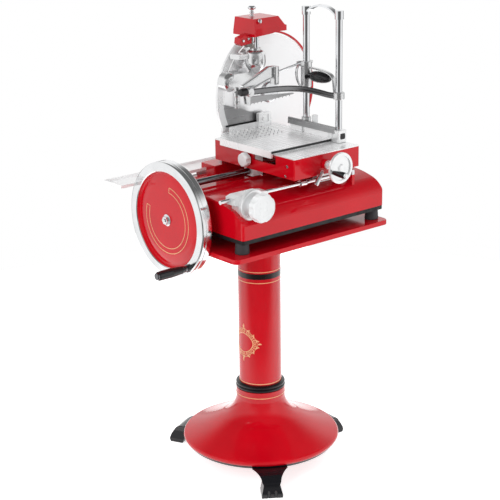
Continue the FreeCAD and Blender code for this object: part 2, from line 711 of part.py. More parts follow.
def make_flywheel():
    """Chrome rim, red dished disc, nut, shaft, handle bolt and grip."""
    left = d.rim_left
    width = d.rim_width
    groove = d.rim_radius - d.rim_groove
    rim = lathe([[
        (d.rim_bore, 2), (d.rim_bore + 2, 0), (d.rim_radius - 5, 0), (d.rim_radius, 5, 5),
        (d.rim_radius, 11), (groove, 12), (groove, 15), (d.rim_radius, 16), (d.rim_radius, width - 5),
        (d.rim_radius - 5, width, 5), (d.rim_bore, width),
    ]], left, d.shaft_y, d.shaft_z, "x")
    hole = rod("x", left - 1, *handle_point(), d.handle_bolt_radius, width + 2)
    subpart("flywheel_rim", cut(rim, hole))
    recess = d.disc_recess
    back = recess + d.disc_sheet
    hub_end = d.wheel_hub_end - left
    disc = lathe([[
        (d.shaft_radius, recess - 3), (d.wheel_hub_radius, recess - 3), (d.wheel_hub_radius + 6, recess),
        (d.rim_bore - d.disc_wall - 8, recess), (d.rim_bore - d.disc_wall, recess - 8, -8),
        (d.rim_bore - d.disc_wall, 2), (d.rim_bore, 2), (d.rim_bore, back),
        (d.wheel_hub_radius + 2, back), (d.wheel_hub_radius - 6, hub_end), (d.shaft_radius, hub_end),
    ]], left, d.shaft_y, d.shaft_z, "x")
    ribs = []
    for k in range(5):
        rib = box(d.rim_left + back - 2, d.rim_left + d.rim_width - 4, d.shaft_y - d.spoke_width / 2,
                  d.shaft_y + d.spoke_width / 2, d.shaft_z + d.wheel_hub_radius - 8,
                  d.shaft_z + d.rim_bore - 1)
        ribs.append(spin(rib, d.rim_left, d.shaft_y, d.shaft_z, "x", 36 + 72 * k))
    subpart("flywheel_disc", fuse(disc, *ribs))
    nut_start = left + recess - 3 - d.nut_height
    nut = prism_sides("x", nut_start + 3, d.shaft_y, d.shaft_z, d.nut_radius, d.nut_height - 3)
    dome = cone("x", nut_start, d.shaft_y, d.shaft_z, d.nut_radius - 5, d.nut_radius - 1.5, 3)
    bore = rod("x", nut_start + 4, d.shaft_y, d.shaft_z, d.shaft_radius - 4, d.nut_height)
    nut = cut(fuse(nut, dome), bore)
    shaft = rod("x", left + recess - 3, d.shaft_y, d.shaft_z, d.shaft_radius,
                miter_x() + d.miter_face - (left + recess - 3))
    stud = rod("x", nut_start + 4, d.shaft_y, d.shaft_z, d.shaft_radius - 4, d.nut_height)
    subpart("main_shaft", group(fuse(shaft, stud), nut))


def handle_point():
    """Y and Z of the handle on the flywheel."""
    return on_ring(d.shaft_y, d.shaft_z, d.handle_circle, d.handle_angle)


def make_handle():
    """The bolt in the rim and the grip that turns on it."""
    y, z = handle_point()
    start = d.rim_left - d.grip_stand - d.grip_length
    bolt = rod("x", start - 2, y, z, d.handle_bolt_radius, d.rim_left + d.rim_width - start + 2)
    ferrule = rod("x", d.rim_left - d.grip_stand + 0.3, y, z, d.handle_bolt_radius + 4,
                  d.grip_stand - 0.3)
    flange = rod("x", d.rim_left - 5, y, z, d.handle_bolt_radius + 7, 5)
    head = lathe([[(0, 0), (8, 0), (11, 3, 4), (11, d.grip_cap), (0, d.grip_cap)]],
                 start - 1 - d.grip_cap, y, z, "x")
    subpart("handle_bolt", fuse(bolt, ferrule, flange, head))
    bore = d.handle_bolt_radius + d.running_gap
    length = d.grip_length
    subpart("crank_grip", lathe([[
        (bore, 0), (d.grip_radius - 1.5, 0), (d.grip_radius, 2, 2), (d.grip_radius + 0.5, length / 2),
        (d.grip_radius - 2, length - 14), (d.grip_radius - 4, length - 4, 20),
        (d.grip_radius - 4, length), (bore, length),
    ]], start, y, z, "x"))


def miter_x():
    """Wide face of the bevel gear on the main shaft."""
    return d.blade_x - d.miter_pinion_radius


def make_drive_gears():
    """Pinion for the crank gear, the bevel gear, and the cross shaft with its pinion and sprocket."""
    radius = d.pinion_radius - d.mesh_gap
    subpart("drive_pinion", gear(
        ring(d.shaft_radius, radius, 0, d.pinion_width), tooth_gap(radius, d.pinion_teeth),
        d.pinion_width, d.pinion_teeth, d.crank_x - d.crank_teeth_radius - 4, d.shaft_y, d.shaft_z, "x"))
    large = d.miter_gear_radius - d.mesh_gap
    small = d.miter_pinion_radius - d.mesh_gap
    face = d.miter_face
    depth = face * d.miter_gear_radius / d.miter_pinion_radius
    taper = 1 - face / d.miter_pinion_radius
    subpart("bevel_gear", gear(
        [(d.shaft_radius, 0), (large, 0), (large * taper, face), (d.shaft_radius, face)],
        tooth_gap(large, d.miter_gear_teeth), face, d.miter_gear_teeth, miter_x(), d.shaft_y, d.shaft_z,
        "x"))
    neck = d.cross_radius - 3
    wide = d.shaft_y + d.miter_gear_radius
    pinion = gear(
        [(neck, 0), (small, 0), (small * taper, depth), (neck, depth)],
        tooth_gap(small, d.miter_pinion_teeth), depth, d.miter_pinion_teeth, d.blade_x, wide, d.shaft_z,
        "-y")
    stub = rod("y", d.blade_x, wide - depth, d.shaft_z, neck, depth)
    shaft = rod("y", d.blade_x, wide, d.shaft_z, d.cross_radius, d.cross_end - wide)
    wheel = sprocket(d.shaft_z, d.low_sprocket_radius, d.low_sprocket_teeth)
    subpart("cross_shaft", fuse(pinion, stub, shaft, wheel))


def sprocket(z, radius, teeth):
    """A chain wheel on an axis along Y."""
    width = d.sprocket_width
    return gear(ring(d.cross_radius - 2, radius, 0, width), tooth_gap(radius, teeth), width, teeth,
                d.blade_x, d.sprocket_y, z, "y")


def make_chain():
    """The drive chain: a closed band that wraps both sprockets, with link gaps outside."""
    gap = 0.6
    low = d.low_sprocket_radius + gap
    high = d.high_sprocket_radius + gap
    y0 = d.sprocket_y + d.sprocket_width / 2 - d.chain_width / 2
    outer = chain_outline(low + d.chain_thickness, high + d.chain_thickness)
    inner = chain_outline(low, high)
    subpart("drive_chain", plate_y(y0, y0 + d.chain_width, outer, inner))


def chain_outline(low, high):
    """Two arcs and the two straight runs between the sprockets."""
    rise = d.blade_z - d.shaft_z
    tilt = (low - high) / rise
    side = root(1 - tilt * tilt)
    x = d.blade_x
    low_z = d.shaft_z + low * tilt
    high_z = d.blade_z + high * tilt
    return [
        (x + high * side, high_z), (x, d.blade_z + high, high), (x - high * side, high_z, high),
        (x - low * side, low_z), (x, d.shaft_z - low, low), (x + low * side, low_z, low),
    ]


def rod_reach():
    """Distance along X from the crank pin to the driver pin at rest."""
    rise = d.crank_throw * sine(d.crank_rest) + d.shaft_y - d.rod_y
    return root(d.rod_length * d.rod_length - rise * rise)


def crank_levels():
    """Heights of the crank's tooth tips, plate underside, plate top and rod underside."""
    tips = d.shaft_z + d.pinion_radius
    low = tips + d.tooth_depth
    high = low + d.crank_plate
    return tips, low, high, high + d.crank_washer + 0.4


def make_crank():
    """Crown gear with its crank arm, and the connecting rod that drives the carriage."""
    tips, low, high, rod_low = crank_levels()
    bore = d.stub_radius + d.running_gap
    x, y = d.crank_x, d.shaft_y
    outer = d.crank_teeth_radius + 4
    inner = d.crank_teeth_radius - 12
    half = d.crank_teeth_radius * (math.pi / 2) / d.crank_teeth
    wheel = gear(
        [(bore, d.tooth_depth), (inner, d.tooth_depth), (inner, 0), (outer, 0), (outer, high - tips),
         (bore, high - tips)],
        rectangle(inner - 1, outer + 1, -half, half), d.tooth_depth, d.crank_teeth, x, y, tips, "z")
    pin_x, pin_y = on_ring(x, y, d.crank_throw, d.crank_rest)
    arm = box(x + 20, x + d.crank_throw, y - d.crank_boss, y + d.crank_boss, low, high)
    arm = spin(arm, x, y, 0, "z", d.crank_rest)
    boss = rod("z", pin_x, pin_y, low, d.crank_boss, d.crank_plate + d.crank_washer)
    pin = rod("z", pin_x, pin_y, low, d.rod_pin, rod_low + d.rod_thickness + 1 - low)
    subpart("crank_gear", fuse(wheel, arm, boss, pin))

    end_x = pin_x + rod_reach()
    bore = d.rod_pin + d.running_gap
    tall = d.rod_thickness
    fall = pin_y - d.rod_y
    tilt = math.degrees(math.asin(number(fall) / number(d.rod_length)))
    tilt = Size(tilt, "(asin(%s / %s) / 1deg)" % (formula(fall), formula(d.rod_length)))
    shank = box(pin_x, pin_x + d.rod_length, pin_y - 7, pin_y + 7, rod_low, rod_low + tall)
    shank = spin(shank, pin_x, pin_y, 0, "z", -tilt)
    spots = ((pin_x, pin_y), (end_x, d.rod_y))
    eyes = [rod("z", *spot, rod_low, d.rod_eye, tall) for spot in spots]
    bores = [rod("z", *spot, rod_low - 1, bore, tall + 2) for spot in spots]
    subpart("connecting_rod", cut(fuse(shank, *eyes), *bores))



def crank_stub():
    """The block and upright stub that the crank gear turns on."""
    x, y = d.crank_x, d.shaft_y
    high = crank_levels()[2]
    block = bearing_block("x", x, y, d.crank_block_top)
    foot = d.crank_block_top - 2
    stub = rod("z", x, y, foot, d.stub_radius, high + d.crank_washer - foot)
    washer = rod("z", x, y, high + 0.2, d.stub_radius + 4, d.crank_washer - 0.2)
    return fuse(block, stub, washer)


def bearing_block(axis, x, y, top=None):
    """A plummer block that stands on the pan, round at the top or flat at a given height."""
    floor = d.tray_top + d.foot_height + d.pan_sheet
    half = d.bearing_width / 2
    outer = d.bearing_outer
    bore = d.shaft_radius + d.running_gap
    centre = y if axis == "x" else x
    if top is None:
        head = [(centre + outer, d.shaft_z), (centre, d.shaft_z + outer, outer),
                (centre - outer, d.shaft_z, outer)]
    else:
        head = [(centre + outer, top), (centre - outer, top)]
    outline = [
        (centre - d.bearing_foot / 2, floor), (centre + d.bearing_foot / 2, floor),
        (centre + d.bearing_foot / 2, floor + 7), (centre + outer, floor + 9), *head,
        (centre - outer, floor + 9), (centre - d.bearing_foot / 2, floor + 7),
    ]
    if axis == "x":
        return plate_x(x - half, x + half, outline, (centre, d.shaft_z, bore))
    return plate_y(y - half, y + half, outline, (centre, d.shaft_z, bore))


def make_bearings():
    """The flanged bush in the left wall and three plummer blocks."""
    bore = d.shaft_radius + d.running_gap
    depth = d.base_end_wall
    bush = lathe([[
        (bore, -6), (d.bearing_outer + 8, -6), (d.bearing_outer + 8, 0), (d.bearing_outer, 0),
        (d.bearing_outer, depth + 4), (bore, depth + 4),
    ]], d.base_left, d.shaft_y, d.shaft_z, "x")
    blocks = [
        bearing_block("x", miter_x() - 24, d.shaft_y),
        bearing_block("y", d.blade_x, d.shaft_y + 70),
        bearing_block("y", d.blade_x, d.sprocket_y - 24),
    ]
    subpart("shaft_bearings", group(bush, crank_stub(), *blocks))


# ---------------------------------------------------------------- blade group

def make_blade():
    """Bevelled blade, its shaft with hub and sprocket."""
    back = d.blade_sheet
    edge_start = d.blade_radius - d.blade_bevel
    bore = d.blade_shaft_radius
    subpart("blade", lathe([[
        (bore, 0), (edge_start, 0), (d.blade_radius, back - d.blade_edge), (d.blade_radius, back),
        (bore, back),
    ]], d.blade_x, d.blade_y, d.blade_z, "y"))
    hub = lathe([[
        (0, -9), (d.blade_hub_radius - 8, -9), (d.blade_hub_radius, -3, 9), (d.blade_hub_radius, 0),
        (bore, 0), (bore, back), (d.blade_hub_radius - 2, back), (d.blade_hub_radius - 2, back + 8),
        (bore, back + 8), (bore, d.cross_end - d.blade_y), (0, d.cross_end - d.blade_y),
    ]], d.blade_x, d.blade_y, d.blade_z, "y")
    wheel = sprocket(d.blade_z, d.high_sprocket_radius, d.high_sprocket_teeth)
    subpart("blade_shaft", fuse(hub, wheel))


def arc_band(inner, outer, start, end):
    """An annular band about the blade axis between two angles, anticlockwise from start."""
    x, z = d.blade_x, d.blade_z
    middle = (start + end) / 2
    return [
        on_ring(x, z, outer, start), (*on_ring(x, z, outer, middle), outer),
        (*on_ring(x, z, outer, end), outer), on_ring(x, z, inner, end),
        (*on_ring(x, z, inner, middle), -inner), (*on_ring(x, z, inner, start), -inner),
    ]


def make_blade_guard():
    """White crescent with its foot and end screw, the shield beside it, the red ring and its link."""
    front = d.crescent_front
    back = front + d.crescent_depth
    band = plate_y(front, back, arc_band(d.crescent_inner, d.crescent_outer, d.crescent_start,
                                         d.crescent_end))
    foot_x, foot_z = on_ring(d.blade_x, d.blade_z, d.crescent_outer, d.crescent_end)
    heel_x, heel_z = on_ring(d.blade_x, d.blade_z, d.crescent_inner, d.crescent_end)
    leg = plate_y(front, back, [
        (foot_x, foot_z), (d.crescent_foot_left, d.seat_top), (d.crescent_foot_right + 30, d.seat_top),
        (d.crescent_foot_right, d.seat_top + 20, -30), (heel_x, heel_z),
    ])
    screw_x, screw_z = on_ring(d.blade_x, d.blade_z, d.crescent_outer + 3, d.crescent_start + 4)
    lug = rod("y", screw_x, front, screw_z, 9, d.crescent_depth)
    screw = rod("-y", screw_x, front + 1, screw_z, 6, 8)
    subpart("blade_guard", fuse(band, leg, lug, screw))
    make_shield()
    ring_back = d.guard_front + d.guard_depth
    red = plate_y(d.guard_front, ring_back, arc_band(d.guard_inner, d.guard_outer, d.guard_end,
                                                     d.guard_start))
    link = plate_y(d.guard_front, ring_back, arc_band(d.guard_inner, d.link_outer, d.guard_start - 1,
                                                      d.link_end))
    screws = []
    for angle in (d.guard_start + 4, d.crescent_start - 5):
        x, z = on_ring(d.blade_x, d.blade_z, (d.guard_inner + d.link_outer) / 2, angle)
        screws.append(rod("-y", x, d.guard_front + 1, z, 3.5, 4))
    end_x, end_z = on_ring(d.blade_x, d.blade_z, d.guard_outer, d.guard_end)
    foot = box(end_x - 7, end_x + 9, d.guard_front, ring_back, d.seat_top, end_z + 6)
    subpart("guard_ring", fuse(red, link, foot, *screws))


def make_shield():
    """Flat plate in front of the blade's lower left edge, held by the crescent's inner side."""
    low = d.table_top
    high = d.blade_z - 14
    inner = d.crescent_inner
    drop = d.blade_z - low
    low_x = d.blade_x - root(inner * inner - drop * drop)
    high_x = d.blade_x - root(inner * inner - 14 * 14)
    right = d.shield_right
    front = d.crescent_front
    subpart("guard_shield", plate_y(front, front + d.shield_sheet, [
        (high_x, high, 0 - inner), (right - 66, high - 23), (right - 5, high - 48), (right, high - 52),
        (right, low), (low_x, low),
    ]))


def make_bracket():
    """The hollow casting behind the blade that carries its shaft, and its cover."""
    front = d.bracket_front
    back = d.bracket_back
    wall = d.bracket_wall
    shape = plate_y(front, back, bracket_outline(0))
    hollow = plate_y(front + wall, back, bracket_outline(wall))
    boss = rod("y", d.blade_x, front, d.blade_z, d.blade_shaft_radius + 12, d.sprocket_y - 8 - front)
    body = fuse(cut(shape, hollow), boss)
    bore = rod("y", d.blade_x, front - 1, d.blade_z, d.blade_shaft_radius + d.running_gap, 60)
    cover = plate_y(back, back + d.cover_sheet, bracket_outline(0))
    subpart("blade_bracket", group(cut(body, bore), cover))


def bracket_outline(inset):
    """A wide foot that tapers to a round head about the blade shaft."""
    head = d.bracket_head - inset
    left = d.bracket_foot_left + inset
    right = d.bracket_foot_right - inset
    foot = d.seat_top
    x, z = d.blade_x, d.blade_z
    return [
        (left, foot), (right, foot), (right, foot + 30), (x + head, z), (x, z + head, head),
        (x - head, z, head), (left, foot + 30),
    ]


def make_bridge():
    """The bright casting in front of the blade: knuckle, arm, brace and sharpener bulb."""
    front = d.crescent_front
    knuckle = lathe([[
        (0, 0), (d.knuckle_radius, 0), (d.knuckle_radius, front - d.knuckle_front - 16),
        (d.knuckle_radius - 16, front - d.knuckle_front, 17), (0, front - d.knuckle_front),
    ]], d.knuckle_x, front, d.knuckle_z, "-y")
    arm_front = d.knuckle_front
    low = d.arm_low
    arm = plate_y(arm_front, arm_front + d.arm_depth, [
        (d.knuckle_x, low), (d.knuckle_x + 42, low + 12), (d.bulb_x + 4, low + 27), (d.bulb_x + 18, low + 44),
        (d.bulb_x - 2, low + 48), (d.knuckle_x, low + 49),
    ])
    wide = d.bulb_radius
    bulb = lathe([[
        (0, 0), (6, 0), (20, 11, 30), (wide, 36, 40), (wide - 1, 56, 120), (wide - 6, 70, 24),
        (wide - 12, 74), (wide - 16, 74), (wide - 16, 80), (0, 80),
    ]], d.bulb_x, d.bulb_y, d.bulb_foot)
    brace_x, _ = on_ring(d.blade_x, d.blade_z, d.crescent_inner, 137)
    brace = plate_z(d.brace_low, d.brace_low + d.brace_height, [
        (brace_x - 24, front), (brace_x, front), (d.bulb_x - 6, d.bulb_y + 22),
        (d.bulb_x, d.bulb_y - 8), (brace_x - 12, d.bulb_y + 4),
    ])
    body = fuse(knuckle, arm, bulb, brace)
    bore = rod("z", d.sharpener_x, d.bulb_y, d.bulb_foot + 40, d.post_radius, 60)
    subpart("bridge_casting", cut(body, bore))


# ---------------------------------------------------------------- sharpener

def make_sharpener():
    """Post, sliding body, red cover, knobs and two stones."""
    x, y = d.sharpener_x, d.bulb_y
    foot = d.bulb_foot + 40
    subpart("sharpener_post", rod("z", x, y, foot, d.post_radius, d.post_top - foot))
    shell = common(plate_y(d.cover_front, d.cover_back, cover_outline(0)), cover_section(0))
    wall = d.cover_wall
    hollow = common(plate_y(d.cover_front, d.cover_back, cover_outline(wall)), cover_section(wall))
    arch = rod("y", d.blade_x, d.cover_front - 1, d.blade_z, d.cover_arc, 120)
    subpart("sharpener_cover", cut(shell, hollow, arch))
    bore = d.post_radius + d.running_gap
    low = d.cover_foot + 12
    high = d.cover_top - d.cover_wall
    sleeve = rod("z", x, y, low, d.post_radius + 4.5, d.cover_foot + 24 - low)
    right = d.cover_left + 69
    web = box(x - 8, right, y, y + 12, low + 6, high)
    back = box(d.cover_left + 15, right, d.blade_y - 22, d.blade_y + 34, high - 8, high)
    web_y = box(x - 8, x + 8, y + 8, d.blade_y - 20, low + 6, high)
    arms = []
    for stone_y in stone_faces():
        arms.append(box(d.stone_x - 5, d.stone_x + 5, stone_y - 3, stone_y + 3, d.stone_z - 6, high - 4))
    body = fuse(sleeve, web, back, web_y, *arms)
    spindles = [rod("y", d.stone_x, stone_y - 4, d.stone_z, d.hinge_pin + d.running_gap, 8)
                for stone_y in stone_faces()]
    post_bore = rod("z", x, y, low - 1, bore, high - low + 2)
    subpart("sharpener_body", cut(body, post_bore, *spindles))
    names = ("sharpening_stone", "truing_stone")
    for name, stone_y, side_sign in zip(names, stone_faces(), (1, -1)):
        make_stone(name, stone_y, side_sign)
    make_cover_knobs(shell)


def make_cover_knobs(shell):
    """Lift knob on top of the cover and the ball on its front slope."""
    cap = d.lift_knob_radius
    lift = lathe([[
        (0, 0), (8, 0), (8, 3), (5, 5), (5, 10), (7, 12), (7, 15), (5, 17), (5, 22), (cap - 2, 24),
        (cap, 27, 5), (cap, 30), (cap - 4, 34, 6), (0, 34),
    ]], d.cover_left + 35, (d.cover_front + d.cover_back) / 2 + 2, d.cover_top)
    x = d.cover_left + 23
    z = d.cover_top - 7
    subpart("sharpener_knobs", group(lift, cut(ball(x, d.cover_front + 3, z, 7), shell)))


def cover_outline(inset):
    """Front view of the sharpener cover."""
    left = d.cover_left + inset
    right = d.cover_right - inset
    top = d.cover_top - inset
    return [
        (left, d.cover_foot - inset), (right, d.cover_foot + 8 - inset), (right, d.cover_top - 28),
        (right - 6, d.cover_top - 27), (right - 24 + inset / 2, top), (left + 5, top),
        (left, d.cover_foot + 12),
    ]


def cover_section(inset):
    """Side view of the sharpener cover: an upright foot below a front that leans back."""
    front = d.cover_front + inset
    back = d.cover_back - inset
    top = d.cover_top - inset
    return plate_x(d.cover_left - 10, d.cover_right + 10, [
        (front, d.cover_foot - 10), (front, d.cover_top - 29), (front + 11 - inset / 2, top),
        (back - 4, top), (back, d.cover_foot - 10),
    ])


def stone_faces():
    """Y of the stone carriers, one on each side of the blade."""
    reach = d.stone_gap + d.stone_width + 6
    return d.blade_y - reach, d.blade_y + d.blade_sheet + reach


def make_stone(name, carrier_y, side):
    """A cup stone whose spindle runs in its carrier."""
    axis = "y" if side > 0 else "-y"
    start = carrier_y + side * 3.3
    stone = lathe([[
        (0, -6.6), (d.hinge_pin, -6.6), (d.hinge_pin, 0), (d.stone_radius - 4, 0),
        (d.stone_radius, 3), (d.stone_radius, d.stone_width),
        (d.stone_radius - 8, d.stone_width), (d.stone_radius - 10, d.stone_width - 4),
        (0, d.stone_width - 4),
    ]], d.stone_x, start, d.stone_z, axis)
    subpart(name, stone)


# ---------------------------------------------------------------- carriage

def make_carriage():
    """Red box, steel deck, bushes on the bar and the front shoe."""
    left, right = d.carriage_left, d.carriage_right
    front, back = d.carriage_front, d.carriage_back
    foot, deck = d.carriage_foot, d.carriage_deck
    wall = d.carriage_wall
    outer = plate_z(foot, deck, rounded(left, right, front, back, 4))
    inner = box(left + wall, right - wall, front + wall, back - wall, foot, deck - d.deck_wall)
    x = d.screw_x
    slot = box(x - d.slide_neck - 0.4, x + d.slide_neck + 0.4, d.slide_front - d.table_feed - 2,
               d.slide_back + 2, foot + 30, deck + 5)
    bore = d.screw_radius + d.running_gap
    screw_hole = rod("y", x, front - 1, d.screw_z, bore, wall + 2)
    notch = box(left - 1, left + wall + 1, d.table_front - 6, -36, d.skirt_foot - 22, deck + 1)
    shell = cut(outer, inner, slot, screw_hole, notch)
    end_x = d.crank_x + d.crank_throw * cosine(d.crank_rest) + rod_reach()
    pin_low = crank_levels()[3] + d.rod_thickness + 1.6
    pin = rod("z", end_x, d.rod_y, pin_low, 7, deck - d.deck_wall - pin_low)
    boss = rod("z", end_x, d.rod_y, foot + 4, 12, deck - d.deck_wall - foot - 4)
    collar = rod("-y", x, front, d.screw_z, 15, 9)
    hub = cut(collar, rod("-y", x, front + 1, d.screw_z, bore, 12))
    subpart("carriage_box", fuse(shell, hub, pin, boss))
    sheet = plate_z(deck, deck + d.deck_sheet, rounded(left, right, front, back, 4))
    neck = d.slide_neck + 0.4
    plate_slot = box(x - neck, x + neck, d.slide_front - d.table_feed - 2, d.slide_back + 2, deck - 1,
                     deck + 5)
    subpart("carriage_deck_plate", cut(sheet, plate_slot))
    make_guides()


def make_guides():
    """Two bush blocks that run on the round bar and the shoe that runs on the base's front."""
    ceiling = d.carriage_deck - d.deck_wall
    bore = d.bar_radius + d.running_gap
    low = d.base_top + d.bar_bed + d.bush_gap
    side = d.bush_block
    blocks = []
    for x in (d.carriage_left + 12, d.carriage_right - 12 - d.bush_length):
        block = box(x, x + d.bush_length, -side, side, low, ceiling)
        blocks.append(cut(block, rod("x", x - 1, 0, d.bar_z, bore, d.bush_length + 2)))
    start = d.screw_x + 20
    half = d.shoe_width / 2
    shoe = box(start, start + d.shoe_length, d.shoe_y - half, d.shoe_y + half, d.base_crown, ceiling)
    blocks.append(cut(shoe, guide_track(0.3)))
    subpart("bar_bushes", group(*blocks))


def guide_track(extra):
    """The outside of the base casting, used to fit the shoe to it."""
    return plate_x(d.base_left - 100, d.base_right + 100, [
        (-d.base_crown_side, d.base_crown + extra), (-d.base_flat_side, d.base_top + extra, -d.top_round),
        (-d.base_flat_side, d.base_top - 60), (-d.base_crown_side, d.base_top - 60),
    ])


def make_table():
    """Spiked table plate with its skirt, slide with nut block, fence, post carrier and posts."""
    gap = d.table_gap
    under = d.carriage_deck + d.deck_sheet + gap
    left, right = d.table_left, d.table_right
    front, back = d.table_front, d.table_back
    plate = plate_z(under, d.table_top, [
        (left, front), (right, front), (right, back), (left + d.table_corner_x, back),
        (left, back - d.table_corner_y),
    ])
    skirt = box(left, left + d.skirt_wall, front, back - d.table_corner_y, d.skirt_foot, under + 1)
    subpart("table_plate", fuse(plate, skirt, *table_spikes()))
    x = d.screw_x
    deck_low = d.carriage_deck - d.deck_wall - gap
    slide = plate_y(d.slide_front, d.slide_back, [
        (x - d.slide_half, d.nut_block_foot), (x + d.slide_half, d.nut_block_foot),
        (x + d.slide_half, deck_low), (x + d.slide_neck, deck_low), (x + d.slide_neck, under),
        (x - d.slide_neck, under), (x - d.slide_neck, deck_low), (x - d.slide_half, deck_low),
    ], (x, d.screw_z, d.screw_radius + d.running_gap))
    subpart("table_slide", slide)
    rail = box(d.fence_left, d.fence_right, d.fence_y - d.fence_sheet, d.fence_y, d.table_top,
               d.table_top + d.fence_height)
    stop_right = d.stop_left + d.stop_width
    stop_top = d.table_top + d.stop_height
    stop_front = d.fence_y - d.fence_sheet - 9
    stop = plate_y(stop_front, d.fence_y, [
        (d.stop_left, d.table_top), (stop_right, d.table_top), (stop_right, stop_top - 6),
        (stop_right - 6, stop_top, 6), (d.stop_left, stop_top),
    ])
    recess = box(d.stop_left + 6, stop_right - 8, stop_front - 1, stop_front + 3, d.table_top + 12,
                 stop_top - 7)
    screw = rod("-y", d.stop_left + 22, stop_front + 4, d.table_top + 22, 5, 4)
    subpart("rear_fence", fuse(rail, cut(stop, recess), screw))
    make_posts()


def table_spikes():
    """Rows of short spikes that hold the product on the table."""
    spikes = []
    for row in range(5):
        for k in range(9):
            x = d.table_left + 52 + d.spike_step * k + (row % 2) * d.spike_step / 2
            y = d.table_back - 24 - d.spike_row * row
            spikes.append(cone("z", x, y, d.table_top - 1, 2, 0.5, d.spike_height + 1))
    return spikes


def make_posts():
    """Cast carrier with two sockets, two posts and the hoop that joins their tops."""
    left, right = d.carrier_left, d.carrier_right
    x = d.post_x
    top = d.table_top
    bar = plate_x(left, right, [
        (d.post_b_y, top), (d.carrier_back, top), (d.carrier_back, d.carrier_top - 3),
        (d.carrier_back - 3, d.carrier_top, 3), (d.post_b_y, d.block_top - 4),
    ])
    sockets = [rod("z", x, d.post_a_y, top, d.socket_radius, d.socket_top - top),
               rod("z", x + 3, (d.post_a_y + d.post_b_y) / 2 + 36, top, 9, d.socket_top + 7 - top)]
    half = d.block_half
    low = d.carriage_deck + d.deck_sheet + 1
    block = plate_z(low, d.block_top, rounded(x - half, x + half, d.post_b_y - half,
                                              d.table_front - d.table_gap, 3))
    cap_block = box(x - half, x + half, d.table_front - 2, d.table_front + 12, top, d.block_top)
    holes = [rod("z", x, y, low - 1, d.clamp_post_radius, 90) for y in (d.post_a_y, d.post_b_y)]
    face = d.post_b_y - half
    holes.append(box(x - 10, x + 10, face - 1, face + 5, low + 9, d.block_top - 9))
    subpart("post_carrier", cut(fuse(bar, block, cap_block, *sockets), *holes))
    posts = []
    for y, foot in ((d.post_a_y, top), (d.post_b_y, low)):
        posts.append(rod("z", x, y, foot, d.clamp_post_radius, d.posts_top - foot))
    subpart("clamp_posts", group(*posts))
    radius = hoop_radius()
    caps = [lathe([ring(0, d.cap_radius, 0, d.cap_height)], x, y, d.posts_top)
            for y in (d.post_a_y, d.post_b_y)]
    inner_b = d.post_b_y + d.cap_radius - 3
    inner_a = d.post_a_y - d.cap_radius + 3
    low = d.posts_top + 8
    strap = plate_x(x - d.hoop_width / 2, x + d.hoop_width / 2, [
        (inner_a, low, 0 - radius), (inner_a, low + d.hoop_sheet),
        (inner_b, low + d.hoop_sheet, radius), (inner_b, low),
    ])
    subpart("post_hoop", fuse(*caps, strap))


def hoop_radius():
    """Radius of the hoop from its span and rise."""
    span = (d.post_a_y - d.post_b_y - 2 * d.cap_radius + 6) / 2
    return (span * span + d.hoop_rise * d.hoop_rise) / (2 * d.hoop_rise)


# ---------------------------------------------------------------- product clamp

def make_clamp():
    """Sliding head on the posts with its strap, bow, arm, presser and spindle."""
    x = d.post_x
    bore = d.clamp_post_radius + d.running_gap
    collar_a = rod("z", x, d.post_a_y, d.collar_a_foot, d.collar_radius, d.collar_a_top - d.collar_a_foot)
    collar_b = rod("z", x, d.post_b_y, d.collar_b_foot, d.collar_radius, d.collar_b_top - d.collar_b_foot)
    sheet = d.strap_sheet
    a_face = d.post_a_y - d.collar_radius + 3
    leg = d.post_b_y + d.collar_radius - 1
    top = d.strap_top
    strap = plate_x(d.strap_left, d.strap_right, [
        (a_face, top - sheet), (a_face, top - 2), (leg + 12, top - 3, 240), (leg, top - 18, 18),
        (leg, d.collar_b_foot + 6), (leg + sheet, d.collar_b_foot + 6), (leg + sheet, top - 22),
        (leg + 16, top - 3 - sheet, -12),
    ])
    bow = plate_z(d.bow_foot, d.bow_top, [
        (x - 4, d.post_b_y + 4), (x - 70, d.post_b_y + 92, 190), (d.bow_left, d.bow_left_y + 6, 620),
        (d.bow_left, d.bow_left_y - 6), (x - 76, d.post_b_y + 80, -620), (x - 12, d.post_b_y - 6, -190),
    ])
    spigot = rod("-y", x, a_face, d.d_grip_z, 6, a_face - (d.post_a_y - d.collar_radius - 8))
    latch_z = d.collar_a_top - 8
    ear_y = d.latch_y + d.latch_width / 2 + 0.3
    latch_ear = box(x - 24, x - 12, ear_y, ear_y + 4, latch_z - 8, latch_z + 7)
    latch_pin = rod("-y", x - 20, ear_y, latch_z, 2, d.latch_width)
    head = fuse(collar_a, collar_b, strap, bow, spigot, latch_ear, latch_pin)
    bores = [rod("z", x, y, d.collar_b_foot - 5, bore, 130) for y in (d.post_a_y, d.post_b_y)]
    subpart("clamp_head", cut(head, *bores))
    grip_start = d.post_a_y - d.collar_radius - 8
    grip_length = grip_start - (leg + sheet)
    subpart("clamp_grip", lathe([[
        (0, 0), (7, 0), (d.d_grip_radius, grip_length * 0.35, 70), (9, grip_length - 12, 160),
        (3.5, grip_length, 16),
        (0, grip_length),
    ]], x, grip_start, d.d_grip_z, "-y"))
    make_arm()
    make_spindle()


